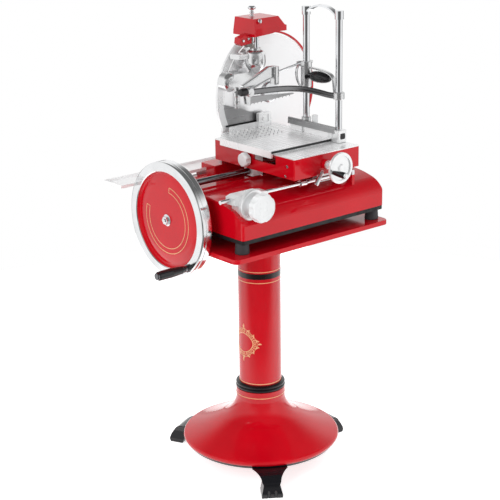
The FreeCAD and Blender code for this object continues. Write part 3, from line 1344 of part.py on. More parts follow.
def make_arm():
    """The tapered cast arm with its T head and tie, and the toothed presser bar below."""
    y0 = d.arm_y - d.arm_sheet / 2
    y1 = d.arm_y + d.arm_sheet / 2
    presser_y = d.arm_y - d.presser_sheet / 2
    left, right = d.arm_left, d.arm_right
    arm = plate_y(y0, y1, [
        (left, d.bow_top), (right + 4, d.head_foot + 12), (right + 4, d.head_top), (right - 14, d.head_top),
        (left + 76, d.bow_top + 52), (left + 24, d.bow_top + 22), (left, d.bow_top + 16),
    ])
    head = plate_z(d.head_foot, d.head_top, rounded(
        right - 4, right - 4 + d.head_width, y0 - 5, y1 + 5, 6))
    start = right - 4 + d.head_width
    reach = d.post_x - d.collar_radius + 4 - start
    tie = rod("x", start - 2, d.arm_y, d.collar_a_top - 10, d.tie_radius, reach)
    strut = plate_y(d.bow_left_y - 8, y1, [
        (left, d.bow_foot), (left + 26, d.bow_foot), (left + 26, d.bow_top + 3), (left, d.bow_top + 3),
    ])
    eye_z = d.presser_foot + 3
    ears = []
    for ear_y in (presser_y - 4, presser_y + d.presser_sheet + 0.3):
        ears.append(plate_y(ear_y, ear_y + 3.7, [
            (d.presser_left - 5, eye_z - 4), (d.presser_left + 5, eye_z - 4),
            (d.presser_left + 5, d.bow_foot + 1), (d.presser_left - 5, d.bow_foot + 1),
        ]))
    pin = rod("y", d.presser_left, presser_y - 4, eye_z, d.hinge_pin, d.presser_sheet + 8)
    bow_space = box(d.bow_left - 0.2, d.post_x, d.bow_left_y - 12, d.bow_left_y + 10, d.bow_foot - 1,
                    d.bow_top)
    collar = rod("z", d.post_x, d.post_a_y, d.collar_a_foot, d.collar_radius,
                 d.collar_a_top - d.collar_a_foot)
    subpart("clamp_arm", cut(fuse(arm, head, tie, strut, pin, *ears), bow_space, collar))
    low = d.presser_foot
    presser = plate_y(presser_y, presser_y + d.presser_sheet, [
        (d.presser_left, d.bow_foot - 0.3), (d.presser_left, low - 2), (d.presser_right, low),
        (d.presser_right, low + 3),
    ])
    teeth = []
    for k in range(12):
        tooth_x = d.presser_left + 12 + k * 14
        teeth.append(cone("z", tooth_x, d.arm_y, low - 7, 0.6, 2.4, 8))
    eye_radius = d.bow_foot - 0.4 - eye_z
    eye = rod("y", d.presser_left, presser_y, eye_z, eye_radius, d.presser_sheet)
    bore = rod("y", d.presser_left, presser_y - 1, eye_z, d.hinge_pin + d.running_gap, d.presser_sheet + 2)
    subpart("presser_bar", cut(fuse(presser, eye, *teeth), bore))


def make_spindle():
    """The upright screw at the clamp's free end, its knurled nut and its knob."""
    x = d.spindle_x
    y = d.arm_y
    low, high = d.spindle_foot, d.spindle_top
    lug = plate_z(d.bow_foot + 4, d.bow_top + 4, [
        (x, y - 12, 12), (d.arm_left, y - 8), (d.arm_left, y + 8), (x, y + 12), (x - 12, y, 12),
    ])
    screw = rod("z", x, y, low, d.spindle_radius, high - low)
    nut = rod("z", x, y, d.bow_top + 4, d.spindle_knob, 13)
    foot = rod("z", x, y, low - 6, d.spindle_knob - 1, 7)
    subpart("clamp_spindle", fuse(lug, screw, nut, foot))
    subpart("arm_knob", lathe([[
        (0, 0), (8, 0), (11, 4, 6), (11, 12), (8, 16, 6), (0, 17),
    ]], d.arm_left + 11, d.bow_left_y + 3, d.bow_top + 3))
    latch_x = d.post_x - d.collar_radius - 0.3
    hole = (d.post_x - 20, d.collar_a_top - 8, 2 + d.running_gap)
    lean = 9 * sine(d.latch_swing + 2)
    subpart("post_latch", plate_y(d.latch_y - d.latch_width / 2, d.latch_y + d.latch_width / 2, [
        (latch_x - 0.5, d.collar_a_top - 22), (latch_x, d.collar_a_top - 8),
        (latch_x - lean, d.collar_a_top + 1),
        (latch_x - d.latch_sheet - 2, d.collar_a_top + 1), (latch_x - 7, d.collar_a_foot + 8, 160),
        (latch_x - 2, d.collar_a_foot + 8),
    ], hole))


# ---------------------------------------------------------------- hand controls

def make_handwheel():
    """The cross-feed handwheel with its screw, and its grip."""
    x, z = d.screw_x, d.screw_z
    radius = d.handwheel_radius
    rim = d.handwheel_rim
    wheel = lathe([[
        (0, -4), (10, -4), (12, 2), (radius - rim, 4), (radius - rim, 0), (radius - 2, 0),
        (radius, 3, 3), (radius, rim - 2), (radius - 2, rim, 3), (radius - rim, rim),
        (radius - rim - 2, 9), (14, 9), (12, 24), (0, 24),
    ]], x, d.handwheel_y, z, "y")
    screw = rod("y", x, d.handwheel_y + 20, z, d.screw_radius, d.screw_end - d.handwheel_y - 20)
    collar = rod("y", x, d.carriage_front - 14, z, 13, 4.5)
    grip_x, grip_z = on_ring(x, z, d.hand_grip_circle, d.hand_grip_angle)
    pin = rod("-y", grip_x, d.handwheel_y + 4, grip_z, 3, d.hand_grip_length + 8)
    cap = rod("-y", grip_x, d.handwheel_y - d.hand_grip_length - 3, grip_z, 5.5, 3)
    subpart("feed_handwheel", fuse(wheel, screw, collar, pin, cap))
    length = d.hand_grip_length
    subpart("handwheel_grip", lathe([[
        (3 + d.running_gap, 0), (d.hand_grip_radius - 2, 0), (d.hand_grip_radius, 18, 60),
        (d.hand_grip_radius, length - 8), (d.hand_grip_radius - 1.5, length),
        (3 + d.running_gap, length),
    ]], grip_x, d.handwheel_y - 2, grip_z, "-y"))


def make_thickness_unit():
    """Round housing with ears, lobed knob on its shaft, stroke rod and its stand."""
    x, z = d.dial_x, d.dial_z
    depth = d.dial_back - d.dial_front
    drum = lathe([[
        (d.dial_shaft + d.running_gap, 0), (d.dial_radius - 5, 0), (d.dial_radius, 5, 5),
        (d.dial_radius, depth), (d.dial_shaft + d.running_gap, depth),
    ]], x, d.dial_front, z, "y")
    reach = d.ear_reach
    inner = d.ear_inner
    ears = plate_y(d.dial_back - 2.5, d.dial_back - 2.5 + d.ear_depth, [
        (x - reach, d.stroke_z - 12), (x - inner, d.stroke_z - 16), (x - inner, z - 30),
        (x + inner, z - 30), (x + inner, d.stroke_z - 16), (x + reach, d.stroke_z - 10),
        (x + reach, d.stroke_z + 9), (x + 30, d.stroke_z + 14), (x - inner - 6, d.stroke_z + 14),
        (x - reach, d.stroke_z + 9),
    ])
    body = fuse(drum, ears)
    seat = plate_x(x - 100, x + 100, base_profile(0))
    rod_hole = rod("x", x - 90, d.stroke_y, d.stroke_z, d.stroke_radius, 180)
    shaft_hole = rod("y", x, d.dial_front - 1, z, d.dial_shaft + d.running_gap, 30)
    subpart("thickness_housing", cut(body, seat, rod_hole, shaft_hole))
    front = d.dial_front - d.knob_gap
    lobes = []
    count = int(number(d.knob_lobes))
    for k in range(count):
        lobe_x, lobe_z = on_ring(x, z, d.knob_radius + 16, 360.0 / count * k)
        lobes.append(rod("-y", lobe_x, front + 1, lobe_z, 20, d.knob_depth + 2))
    knob = lathe([[
        (0, 0), (d.knob_radius - 6, 0), (d.knob_radius, 4, 5), (d.knob_radius, d.knob_depth - 6),
        (d.knob_radius - 8, d.knob_depth, 9), (0, d.knob_depth + 2),
    ]], x, front, z, "-y")
    shaft = rod("y", x, front - 2, z, d.dial_shaft, d.knob_gap + 22)
    collar = rod("y", x, front - 1, z, 22, d.knob_gap - 0.5)
    subpart("thickness_knob", fuse(cut(knob, *lobes), shaft, collar))
    start = d.stroke_left
    bar = rod("x", start, d.stroke_y, d.stroke_z, d.stroke_radius, d.stroke_right - start)
    collar = lathe([ring(0, 10, 0, 22)], d.stroke_collar, d.stroke_y, d.stroke_z, "x")
    stand = plate_x(d.stroke_stand, d.stroke_stand + 10, [
        (d.stroke_y - 11, d.base_crown - 20), (d.stroke_y + 13, d.base_crown - 20),
        (d.stroke_y + 11, d.stroke_z), (d.stroke_y, d.stroke_z + 11, 11),
        (d.stroke_y - 11, d.stroke_z, 11),
    ], (d.stroke_y, d.stroke_z, d.stroke_radius))
    stand = cut(stand, plate_x(d.stroke_stand - 1, d.stroke_stand + 12, base_profile(0)))
    subpart("stroke_rod", group(fuse(bar, collar), stand))


def make_small_controls():
    """Feed lever on the carriage's lower front and lock knob on its left face."""
    x = d.lever_x
    y = d.carriage_front - 12
    z = d.carriage_foot + 2
    boss = rod("-y", x, d.carriage_front - 0.3, z + 8, 8, 13)
    arm = cone("-z", x, y, z + 8, 5, d.lever_radius - 1, 16)
    grip = lathe([[(0, 0), (d.lever_radius - 1, 0), (d.lever_radius, 4, 5), (d.lever_radius, 24),
                   (d.lever_radius - 3, 28, 4), (0, 28)]], x, y, z - 6, "-z")
    lever = spin(fuse(arm, grip), x, y, z + 8, "y", 35)
    subpart("feed_lever", fuse(boss, lever))
    stem = rod("-x", d.carriage_left - 0.3, d.lock_y, d.lock_z, 9, 8)
    lobes = []
    for k in range(6):
        lobe_y, lobe_z = on_ring(d.lock_y, d.lock_z, d.lock_radius + 9, 60 * k)
        lobes.append(rod("-x", d.carriage_left - 7, lobe_y, lobe_z, 12, d.lock_depth + 4))
    knob = lathe([[
        (0, 0), (d.lock_radius - 3, 0), (d.lock_radius, 3, 4), (d.lock_radius, d.lock_depth - 5),
        (d.lock_radius - 6, d.lock_depth, 7), (0, d.lock_depth + 1),
    ]], d.carriage_left - 8, d.lock_y, d.lock_z, "-x")
    subpart("lock_knob", fuse(stem, cut(knob, *lobes)))


# ---------------------------------------------------------------- build, check and write

def check(item):
    """Stop if a finished sub-part is broken."""
    shape = item.Shape
    if shape.isNull() or not shape.isValid() or not shape.Solids:
        raise RuntimeError("bad shape: " + item.Label)


def main():
    """Build everything, check it and write one STEP file per sub-part."""
    make_pedestal()
    make_tray()
    make_base()
    make_slice_tray()
    make_flywheel()
    make_handle()
    make_drive_gears()
    make_chain()
    make_crank()
    make_bearings()
    make_blade()
    make_blade_guard()
    make_bracket()
    make_bridge()
    make_sharpener()
    make_carriage()
    make_table()
    make_clamp()
    make_handwheel()
    make_thickness_unit()
    make_small_controls()
    doc.recompute()
    failed = [item.Label for item in doc.Objects if "Invalid" in item.State or "Error" in item.State]
    if failed:
        raise RuntimeError("failed objects: " + ", ".join(failed))
    for item in SUBPARTS:
        check(item)
    os.makedirs("parts", exist_ok=True)
    for item in SUBPARTS:
        item.Shape.exportStep("parts/" + item.Label + ".step")


main()
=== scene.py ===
import json
import math

import bmesh
import bpy
from mathutils import Matrix, Vector
from mathutils.bvhtree import BVHTree


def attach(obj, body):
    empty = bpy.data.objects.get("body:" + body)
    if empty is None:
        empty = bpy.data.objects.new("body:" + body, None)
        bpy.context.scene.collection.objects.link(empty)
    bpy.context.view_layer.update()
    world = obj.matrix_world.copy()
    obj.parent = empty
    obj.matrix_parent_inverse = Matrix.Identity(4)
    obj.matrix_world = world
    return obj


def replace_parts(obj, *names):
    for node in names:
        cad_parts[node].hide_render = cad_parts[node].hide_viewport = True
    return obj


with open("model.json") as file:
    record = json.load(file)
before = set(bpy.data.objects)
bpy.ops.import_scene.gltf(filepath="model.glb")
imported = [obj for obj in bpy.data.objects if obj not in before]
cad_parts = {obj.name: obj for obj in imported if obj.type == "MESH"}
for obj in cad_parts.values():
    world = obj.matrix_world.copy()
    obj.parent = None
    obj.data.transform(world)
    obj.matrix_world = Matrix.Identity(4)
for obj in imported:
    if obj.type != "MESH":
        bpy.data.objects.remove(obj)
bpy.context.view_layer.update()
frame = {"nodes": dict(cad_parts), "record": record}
MM = 0.001
nodes = frame["nodes"]

# ---------------------------------------------------------------- materials


class Graph:
    """A material's node tree with its Principled shader."""

    def __init__(self, name, color, metallic, roughness):
        self.material = bpy.data.materials.new(name)
        self.material.use_nodes = True
        self.tree = self.material.node_tree
        self.shader = self.tree.nodes["Principled BSDF"]
        self.set("Base Color", (*color, 1.0))
        self.set("Metallic", metallic)
        self.set("Roughness", roughness)
        self.position = self.add("ShaderNodeTexCoord").outputs["Object"]

    def set(self, socket, value):
        """Fix one of the shader's own sockets."""
        self.shader.inputs[socket].default_value = value

    def add(self, kind, **inputs):
        """A node with some of its inputs set or linked."""
        node = self.tree.nodes.new(kind)
        for name, value in inputs.items():
            self.feed(node.inputs[name.replace("_", " ")], value)
        return node

    def feed(self, socket, value):
        """Link a socket, or set its value."""
        if isinstance(value, bpy.types.NodeSocket):
            self.tree.links.new(value, socket)
        else:
            socket.default_value = value

    def drive(self, socket, value):
        """Link one of the shader's inputs."""
        self.feed(self.shader.inputs[socket], value)

    def stretched(self, scale):
        """Object position scaled differently along each axis."""
        mapping = self.add("ShaderNodeMapping", Vector=self.position)
        mapping.inputs["Scale"].default_value = scale
        return mapping.outputs["Vector"]

    def noise(self, scale, detail=2.0, rough=0.5, vector=None):
        """Smooth noise between 0 and 1."""
        node = self.add("ShaderNodeTexNoise", Scale=scale, Detail=detail, Roughness=rough,
                        Vector=vector or self.position)
        return node.outputs["Fac"]

    def spread(self, source, low, high, start=0.3, stop=0.7):
        """A source remapped to a range."""
        node = self.add("ShaderNodeMapRange", Value=source)
        for name, value in (("From Min", start), ("From Max", stop), ("To Min", low), ("To Max", high)):
            node.inputs[name].default_value = value
        return node.outputs["Result"]

    def blend(self, factor, first, second):
        """Mix of two colours."""
        node = self.tree.nodes.new("ShaderNodeMix")
        node.data_type = "RGBA"
        self.feed(node.inputs["Factor"], factor)
        for socket, color in zip((node.inputs[6], node.inputs[7]), (first, second)):
            self.feed(socket, color if isinstance(color, bpy.types.NodeSocket) else (*color, 1.0))
        return node.outputs[2]

    def math(self, operation, first, second=0.0):
        """One arithmetic step."""
        node = self.tree.nodes.new("ShaderNodeMath")
        node.operation = operation
        self.feed(node.inputs[0], first)
        self.feed(node.inputs[1], second)
        return node.outputs[0]

    def soften(self, radius):
        """Edges that catch light as if rounded."""
        node = self.tree.nodes.new("ShaderNodeBevel")
        node.samples = 4
        node.inputs["Radius"].default_value = radius
        self.drive("Normal", node.outputs["Normal"])

    def bump(self, height, strength, distance):
        """Surface relief from a height."""
        node = self.add("ShaderNodeBump", Height=height, Strength=strength, Distance=distance)
        if self.shader.inputs["Normal"].is_linked:
            self.feed(node.inputs["Normal"], self.shader.inputs["Normal"].links[0].from_socket)
        self.drive("Normal", node.outputs["Normal"])


def darker(color, share):
    """A colour brought down by a share."""
    return tuple(c * share for c in color)


def enamel(name, color, roughness=0.1, edge=1.2):
    """Sprayed gloss enamel with faint orange peel and soft wear in its shine."""
    graph = Graph(name, color, 0.0, roughness)
    graph.soften(edge * MM)
    cloud = graph.noise(9.0, 3.0)
    graph.drive("Base Color", graph.blend(graph.spread(cloud, 0.0, 1.0), color, darker(color, 0.88)))
    graph.drive("Roughness", graph.spread(graph.noise(40.0, 4.0), roughness * 0.8, roughness * 1.5))
    graph.bump(graph.noise(600.0, 2.0), 0.04, 0.0004)
    return graph


def metal(name, color, roughness, grain=(60.0, 60.0, 60.0), relief=0.04, spread=0.35, edge=0.6,
          metallic=1.0, shade=0.85):
    """Bare metal: tint and shine vary along its grain."""
    graph = Graph(name, color, metallic, roughness)
    graph.soften(edge * MM)
    cloud = graph.noise(14.0, 3.0)
    graph.drive("Base Color", graph.blend(graph.spread(cloud, 0.0, 1.0), color, darker(color, shade)))
    scratch = graph.noise(1.0, 4.0, 0.6, graph.stretched(grain))
    graph.drive("Roughness", graph.spread(scratch, roughness * (1 - spread), roughness * (1 + spread)))
    if relief:
        graph.bump(scratch, relief, 0.0006)
    return graph


def plastic(name, color, roughness, grain=500.0, edge=0.8):
    """Moulded plastic or rubber with a fine skin."""
    graph = Graph(name, color, 0.0, roughness)
    graph.soften(edge * MM)
    lighter = tuple(min(1.0, c * 1.25 + 0.004) for c in color)
    graph.drive("Base Color", graph.blend(graph.noise(25.0, 3.0), color, lighter))
    graph.drive("Roughness", graph.spread(graph.noise(60.0, 3.0), roughness * 0.8, roughness * 1.25))
    graph.bump(graph.noise(grain, 2.0), 0.08, 0.0003)
    return graph


RED = (0.57, 0.002, 0.01)
CHROME_TINT = (0.88, 0.89, 0.91)
TABLE_TINT = (0.95, 0.955, 0.96)
CAST_GRAIN = (6.0, 6.0, 6.0)
BLADE_GRAIN = (3.0, 3.0, 3.0)
TRAY_GRAIN = (4.0, 300.0, 4.0)
TABLE_GRAIN = (400.0, 6.0, 6.0)
SHIELD_GRAIN = (4.0, 4.0, 90.0)
BAR_GRAIN = (3.0, 60.0, 60.0)


def cast(name, color, roughness, edge, metallic, shade):
    """Cast metal with a soft cloud and no relief."""
    return metal(name, color, roughness, CAST_GRAIN, relief=0.0, spread=0.12, edge=edge,
                 metallic=metallic, shade=shade)


def chrome_plate(name):
    """Smooth chrome plate."""
    return metal(name, CHROME_TINT, 0.08, relief=0.0)


def ground_steel(name):
    """Pale steel ground along Y."""
    return metal(name, TABLE_TINT, 0.26, TABLE_GRAIN, relief=0.01, spread=0.15, metallic=0.4, shade=0.96)


MATERIALS = {
    "red_paint": enamel("red_enamel", RED),
    "black_paint": enamel("black_enamel", (0.006, 0.006, 0.008)),
    "bright_steel": metal("bright_steel", (0.78, 0.79, 0.81), 0.2, relief=0.02),
    "chrome": chrome_plate("chrome_plate"),
    "cast_alloy": cast("cast_alloy", (0.92, 0.925, 0.93), 0.28, edge=1.5, metallic=0.6, shade=0.96),
    "polished_cast": cast("polished_cast", (0.8, 0.805, 0.81), 0.16, edge=1.5, metallic=0.95, shade=0.95),
    "black_plastic": plastic("black_plastic", (0.006, 0.006, 0.007), 0.2),
    "pale_plastic": plastic("pale_plastic", (0.68, 0.69, 0.695), 0.3),
    "rubber": plastic("foot_rubber", (0.03, 0.03, 0.033), 0.6, 900.0),
    "dark_paint": plastic("dark_paint", (0.006, 0.006, 0.007), 0.6),
    "abrasive": plastic("abrasive_stone", (0.35, 0.33, 0.3), 0.9, 1500.0),
    "table_steel": ground_steel("table_steel"),
    "gold_paint": enamel("gold_line", (0.88, 0.47, 0.24), 0.25),
    "black_line": enamel("black_line", (0.01, 0.004, 0.004), 0.2),
    "soft_black": plastic("soft_black", (0.008, 0.008, 0.009), 0.5, 800.0),
    "blade_steel": metal("blade_steel", (0.97, 0.97, 0.98), 0.16, BLADE_GRAIN, relief=0.0, spread=0.12,
                         metallic=0.6, shade=0.97),
    "pale_alloy": metal("pale_alloy", (0.97, 0.97, 0.975), 0.35, TRAY_GRAIN, relief=0.01, spread=0.15,
                        metallic=0.1, shade=0.97),
    "clamp_alloy": cast("clamp_alloy", (0.74, 0.745, 0.75), 0.2, edge=1.2, metallic=0.9, shade=0.95),
    "bow_alloy": cast("bow_alloy", (0.24, 0.24, 0.245), 0.22, edge=1.2, metallic=1.0, shade=0.95),
    "rod_chrome": chrome_plate("rod_chrome"),
    "shield_steel": metal("shield_steel", (0.42, 0.42, 0.425), 0.3, SHIELD_GRAIN, relief=0.0, spread=0.2,
                          metallic=0.8),
    "pale_chrome": metal("pale_chrome", (0.93, 0.935, 0.94), 0.12, relief=0.0, spread=0.12, metallic=0.6,
                         shade=0.97),
    "dark_bar": metal("dark_bar", (0.2, 0.2, 0.21), 0.12, BAR_GRAIN, relief=0.0, spread=0.2),
    "spiked_steel": ground_steel("spiked_steel"),
    "rim_chrome": metal("rim_chrome", (0.92, 0.93, 0.94), 0.13, relief=0.0),
}

FINISH = {"blade": "blade_steel", "slice_tray": "pale_alloy", "flywheel_rim": "rim_chrome",
          "guide_bar": "dark_bar", "table_plate": "spiked_steel", "bridge_casting": "polished_cast",
          "feed_handwheel": "pale_chrome", "guard_shield": "shield_steel",
          "handle_bolt": "dark_bar", "stroke_rod": "rod_chrome"}
SPIKE_FOOT = 1.0305
# painted shade: the spikes' dark tint stands in for their shadows on the table
SPIKE_PAINTED_SHADE = (0.22, 0.22, 0.23)


def paint_spike_shade():
    """What stands above the table's top, its spikes, is painted darker as their shade."""
    graph = MATERIALS["spiked_steel"]
    split = graph.add("ShaderNodeSeparateXYZ", Vector=graph.position)
    above = graph.math("GREATER_THAN", split.outputs["Z"], SPIKE_FOOT)
    top = graph.shader.inputs["Base Color"].links[0].from_socket
    # painted shade on the spikes: the same steel, darkened above the table's top
    graph.drive("Base Color", graph.blend(above, top, SPIKE_PAINTED_SHADE))


STAND_LEFT, STAND_TOP = 0.1885, 0.93


def paint_rod_stand():
    """The stand under the front rod's end is enamelled, the rod stays bright."""
    graph = MATERIALS["rod_chrome"]
    split = graph.add("ShaderNodeSeparateXYZ", Vector=graph.position)
    beyond = graph.math("GREATER_THAN", split.outputs["X"], STAND_LEFT)
    below = graph.math("LESS_THAN", split.outputs["Z"], STAND_TOP)
    painted = graph.math("MULTIPLY", beyond, below)
    chrome = graph.shader.inputs["Base Color"].links[0].from_socket
    graph.drive("Base Color", graph.blend(painted, chrome, RED))
    graph.drive("Metallic", graph.math("SUBTRACT", 1.0, painted))


def assign_cad_materials():
    """Give every CAD node the material of its record slot, or its own finish."""
    slots = {row["node"]: row["material_slot"] for row in frame["record"]["subparts"]}
    for name, item in nodes.items():
        item.data.materials.clear()
        item.data.materials.append(MATERIALS[FINISH.get(name, slots[name])].material)


# ---------------------------------------------------------------- pieces


def piece(name, verts, faces, finish, body, smooth=True):
    """A closed mesh of the scene's own, in millimetres."""
    mesh = bpy.data.meshes.new(name)
    mesh.from_pydata([Vector(v) * MM for v in verts], [], faces)
    work = bmesh.new()
    work.from_mesh(mesh)
    bmesh.ops.recalc_face_normals(work, faces=work.faces)
    work.to_mesh(mesh)
    work.free()
    item = bpy.data.objects.new(name, mesh)
    bpy.context.scene.collection.objects.link(item)
    mesh.materials.append(MATERIALS[finish].material)
    if smooth:
        mesh.shade_smooth()
        mesh.set_sharp_from_angle(angle=math.radians(32))
    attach(item, body)
    return item


def tube(name, rings, closed, finish, body, smooth=True):
    """A skin over equal rings of points, joined end to end or capped."""
    count = len(rings[0])
    verts = [point for ring in rings for point in ring]
    faces = []
    for k in range(len(rings) if closed else len(rings) - 1):
        low = k * count
        high = (k + 1) % len(rings) * count
        for j in range(count):
            step = (j + 1) % count
            faces.append((low + j, low + step, high + step, high + j))
    if not closed:
        faces.append(tuple(range(count)))
        faces.append(tuple(range((len(rings) - 1) * count, len(rings) * count)))
    return piece(name, verts, faces, finish, body, smooth)


def turned(name, profile, place, finish, body, steps=96):
    """A closed profile of (radius, height) turned about an axis; place maps it to the model."""
    rings = []
    for k in range(steps):
        turn = math.tau * k / steps
        rings.append([place(r * math.cos(turn), r * math.sin(turn), h) for r, h in profile])
    return tube(name, rings, True, finish, body)


def prism(name, outline, low, high, place, finish, body):
    """A flat outline carried from one height to another; place maps (u, v, h) to the model."""
    rings = [[place(u, v, h) for u, v in outline] for h in (low, high)]
    return tube(name, rings, False, finish, body)


def swept(name, path, section, finish, body, side=None):
    """A section of (side, up) points carried along a path of points."""
    rings = []
    last = len(path) - 1
    for k, point in enumerate(path):
        run = (Vector(path[min(k + 1, last)]) - Vector(path[max(k - 1, 0)])).normalized()
        across = side or run.cross(Vector((0.0, 0.0, 1.0))).normalized()
        up = across.cross(run)
        rings.append([Vector(point) + across * a + up * b for a, b in section])
    return tube(name, rings, False, finish, body)


def oval(wide, tall, power=3.0, steps=20):
    """A rounded section of half width and half height."""
    points = []
    for k in range(steps):
        c, s = math.cos(math.tau * k / steps), math.sin(math.tau * k / steps)
        reach = (abs(c) ** power + abs(s) ** power) ** (-1 / power)
        points.append((wide * reach * c, tall * reach * s))
    return points


def spline(points, steps=6):
    """A smooth path through points."""
    path = []
    ends = [points[0], *points, points[-1]]
    for k in range(len(points) - 1):
        a, b, c, d = (Vector(p) for p in ends[k:k + 4])
        for j in range(steps):
            t = j / steps
            path.append((2 * b + (c - a) * t + (2 * a - 5 * b + 4 * c - d) * t * t
                         + (3 * b - a - 3 * c + d) * t ** 3) / 2)
    path.append(Vector(points[-1]))
    return path


def line_sections(points, half, closed):
    """Left and right edge of a painted line through flat points, with its half width at each."""
    edges = []
    last = len(points) - 1
    for k, point in enumerate(points):
        before = points[k - 1] if k or closed else point
        after = points[(k + 1) % len(points)] if k < last or closed else point
        run = Vector((after[0] - before[0], after[1] - before[1]))
        side = Vector((-run.y, run.x)).normalized() * half(k / max(last, 1))
        edges.append((Vector(point) + side, Vector(point) - side))
    return edges


def painted_line(name, points, half, surface, finish, body, closed=False, lift=0.35):
    """A thin raised line laid on a surface; surface maps (u, v, lift) to the model."""
    width = half if callable(half) else (lambda share: half)
    rings = []
    for left, right in line_sections(points, width, closed):
        inner_left = left.lerp(right, 0.2)
        inner_right = left.lerp(right, 0.8)
        rings.append([surface(left.x, left.y, -0.1), surface(inner_left.x, inner_left.y, lift),
                      surface(inner_right.x, inner_right.y, lift), surface(right.x, right.y, -0.1)])
    return tube(name, rings, closed, finish, body)


COLUMN_RADIUS = 66.5
BAND_SINK = 0.3
WHEEL_FACE, WHEEL_BACK, WHEEL_HUB_END = -339.0, -317, -284
WHEEL_BORE = 14.1
WHEEL_RIBS = 5
WHEEL_Y, WHEEL_Z = 10.0, 848.0


def upright(x, y, h):
    """Turned about the column's axis."""
    return (x, y, h)


def on_wheel_axis(x, y, h):
    """Turned about the flywheel's axis, heights along +X."""
    return (h, WHEEL_Y + x, WHEEL_Z + y)


def band(name, radius, low, high, finish, lift=0.35):
    """A painted ring round the column or the bell's neck, its foot sunk into the skin."""
    inner, outer = radius - BAND_SINK, radius + lift
    profile = [(inner, low), (inner, high), (outer, high - BAND_SINK), (outer, low + BAND_SINK)]
    return turned(name, profile, upright, finish, "stand")


ORNAMENT_Z = 400.0
GOLD_LINES_Z = (634.3, 599.5, 266.5)
GOLD_LINE_HALF = 1.4
BELL_LINE_Z = 222.0


def on_column(u, v, lift):
    """Column skin: u runs round from the flywheel side, v up."""
    turn = math.pi + u / COLUMN_RADIUS
    radius = COLUMN_RADIUS + lift
    return (radius * math.cos(turn), radius * math.sin(turn), ORNAMENT_Z + v)


def spiral(cx, cy, start_radius, end_radius, start_turn, sweep, steps=26):
    """Points of a scroll that winds in or out."""
    points = []
    for k in range(steps + 1):
        share = k / steps
        turn = start_turn + sweep * share
        radius = start_radius + (end_radius - start_radius) * share
        points.append((cx + radius * math.cos(turn), cy + radius * math.sin(turn)))
    return points


def wreath_edge(turn, wide, tall, power):
    """A pointed oval: power 2 is an ellipse, nearer 1 a diamond."""
    c, s = math.cos(turn), math.sin(turn)
    reach = (abs(c) ** power + abs(s) ** power) ** (-1 / power)
    return (wide * reach * c, tall * reach * s)


def swell(thin, thick):
    """Half width that swells in the middle of a stroke."""
    return lambda share: thin + (thick - thin) * math.sin(math.pi * share)


def make_wreath():
    """Gold scrollwork wreath on the column's flywheel side."""
    steps = 96
    inner = [wreath_edge(math.tau * k / steps, 35, 31, 1.8) for k in range(steps)]
    painted_line("wreath_inner", inner, 1.3, on_column, "gold_paint", "stand", closed=True)
    middle = [wreath_edge(math.tau * k / steps, 51, 47, 1.5) for k in range(steps)]
    painted_line("wreath_middle", middle, 0.7, on_column, "gold_paint", "stand", closed=True)
    scrolls = 14
    for k in range(scrolls):
        turn = math.tau * (k + 0.5) / scrolls
        cx, cy = wreath_edge(turn, 44, 40, 1.6)
        hand = 1 if k % 2 else -1
        points = spiral(cx, cy, 8.6, 1.6, turn + hand * 0.6, hand * 3.4 * math.pi, 34)
        painted_line("wreath_scroll_%d" % k, points, swell(0.6, 1.6), on_column, "gold_paint", "stand")
        tip = wreath_edge(turn, 60, 58, 1.35)
        foot = wreath_edge(turn - hand * 0.2, 50, 47, 1.5)
        bend = wreath_edge(turn + hand * 0.12, 56, 53, 1.4)
        leaf = smooth_path([foot, bend, tip])
        painted_line("wreath_leaf_%d" % k, leaf, swell(0.4, 2.2), on_column, "gold_paint", "stand")
    for side in (-1, 1):
        tip = smooth_path([(side * 50, 0), (side * 56, side * 2), (side * 63, 0)])
        painted_line("wreath_tip_%d" % (side + 1), tip, swell(0.6, 3.2), on_column, "gold_paint", "stand")
        crown = smooth_path([(0, side * 46), (2 * side, side * 54), (0, side * 62)])
        painted_line("wreath_crown_%d" % (side + 1), crown, swell(0.6, 3.0), on_column, "gold_paint",
                     "stand")


def smooth_path(points, steps=8):
    """A quadratic curve through three control points."""
    a, b, c = (Vector(p) for p in points)
    path = []
    for k in range(steps + 1):
        t = k / steps
        path.append(a.lerp(b, t).lerp(b.lerp(c, t), t))
    return [(p.x, p.y) for p in path]


def make_column_trim():
    """Black band, gold lines and the wreath."""
    band("column_black_band", COLUMN_RADIUS, 611, 629, "black_line")
    for k, height in enumerate(GOLD_LINES_Z):
        low, high = height - GOLD_LINE_HALF, height + GOLD_LINE_HALF
        band("column_gold_line_%d" % k, COLUMN_RADIUS, low, high, "gold_paint")
    radius = skin_radius(skin("bell_base"), BELL_LINE_Z)
    band("bell_gold_line", radius, 220.8, 223.2, "gold_paint", 0.6)
    make_wreath()


def skin(name):
    """Search tree over a CAD node's skin, in metres."""
    item = nodes[name]
    verts = [item.matrix_world @ v.co for v in item.data.vertices]
    return BVHTree.FromPolygons(verts, [tuple(p.vertices) for p in item.data.polygons])


def skin_radius(tree, height):
    """Radius of a turned node's skin at a height, in millimetres."""
    hit, _, _, _ = tree.ray_cast(Vector((1.0, 0.0, height * MM)), Vector((-1.0, 0.0, 0.0)))
    return hit.x / MM


TRAY_LEFT, TRAY_RIGHT, TRAY_SIDE = -304.0, 303.0, 259.0
FRONT_CORNER, BACK_CORNER = 22.0, 100.0


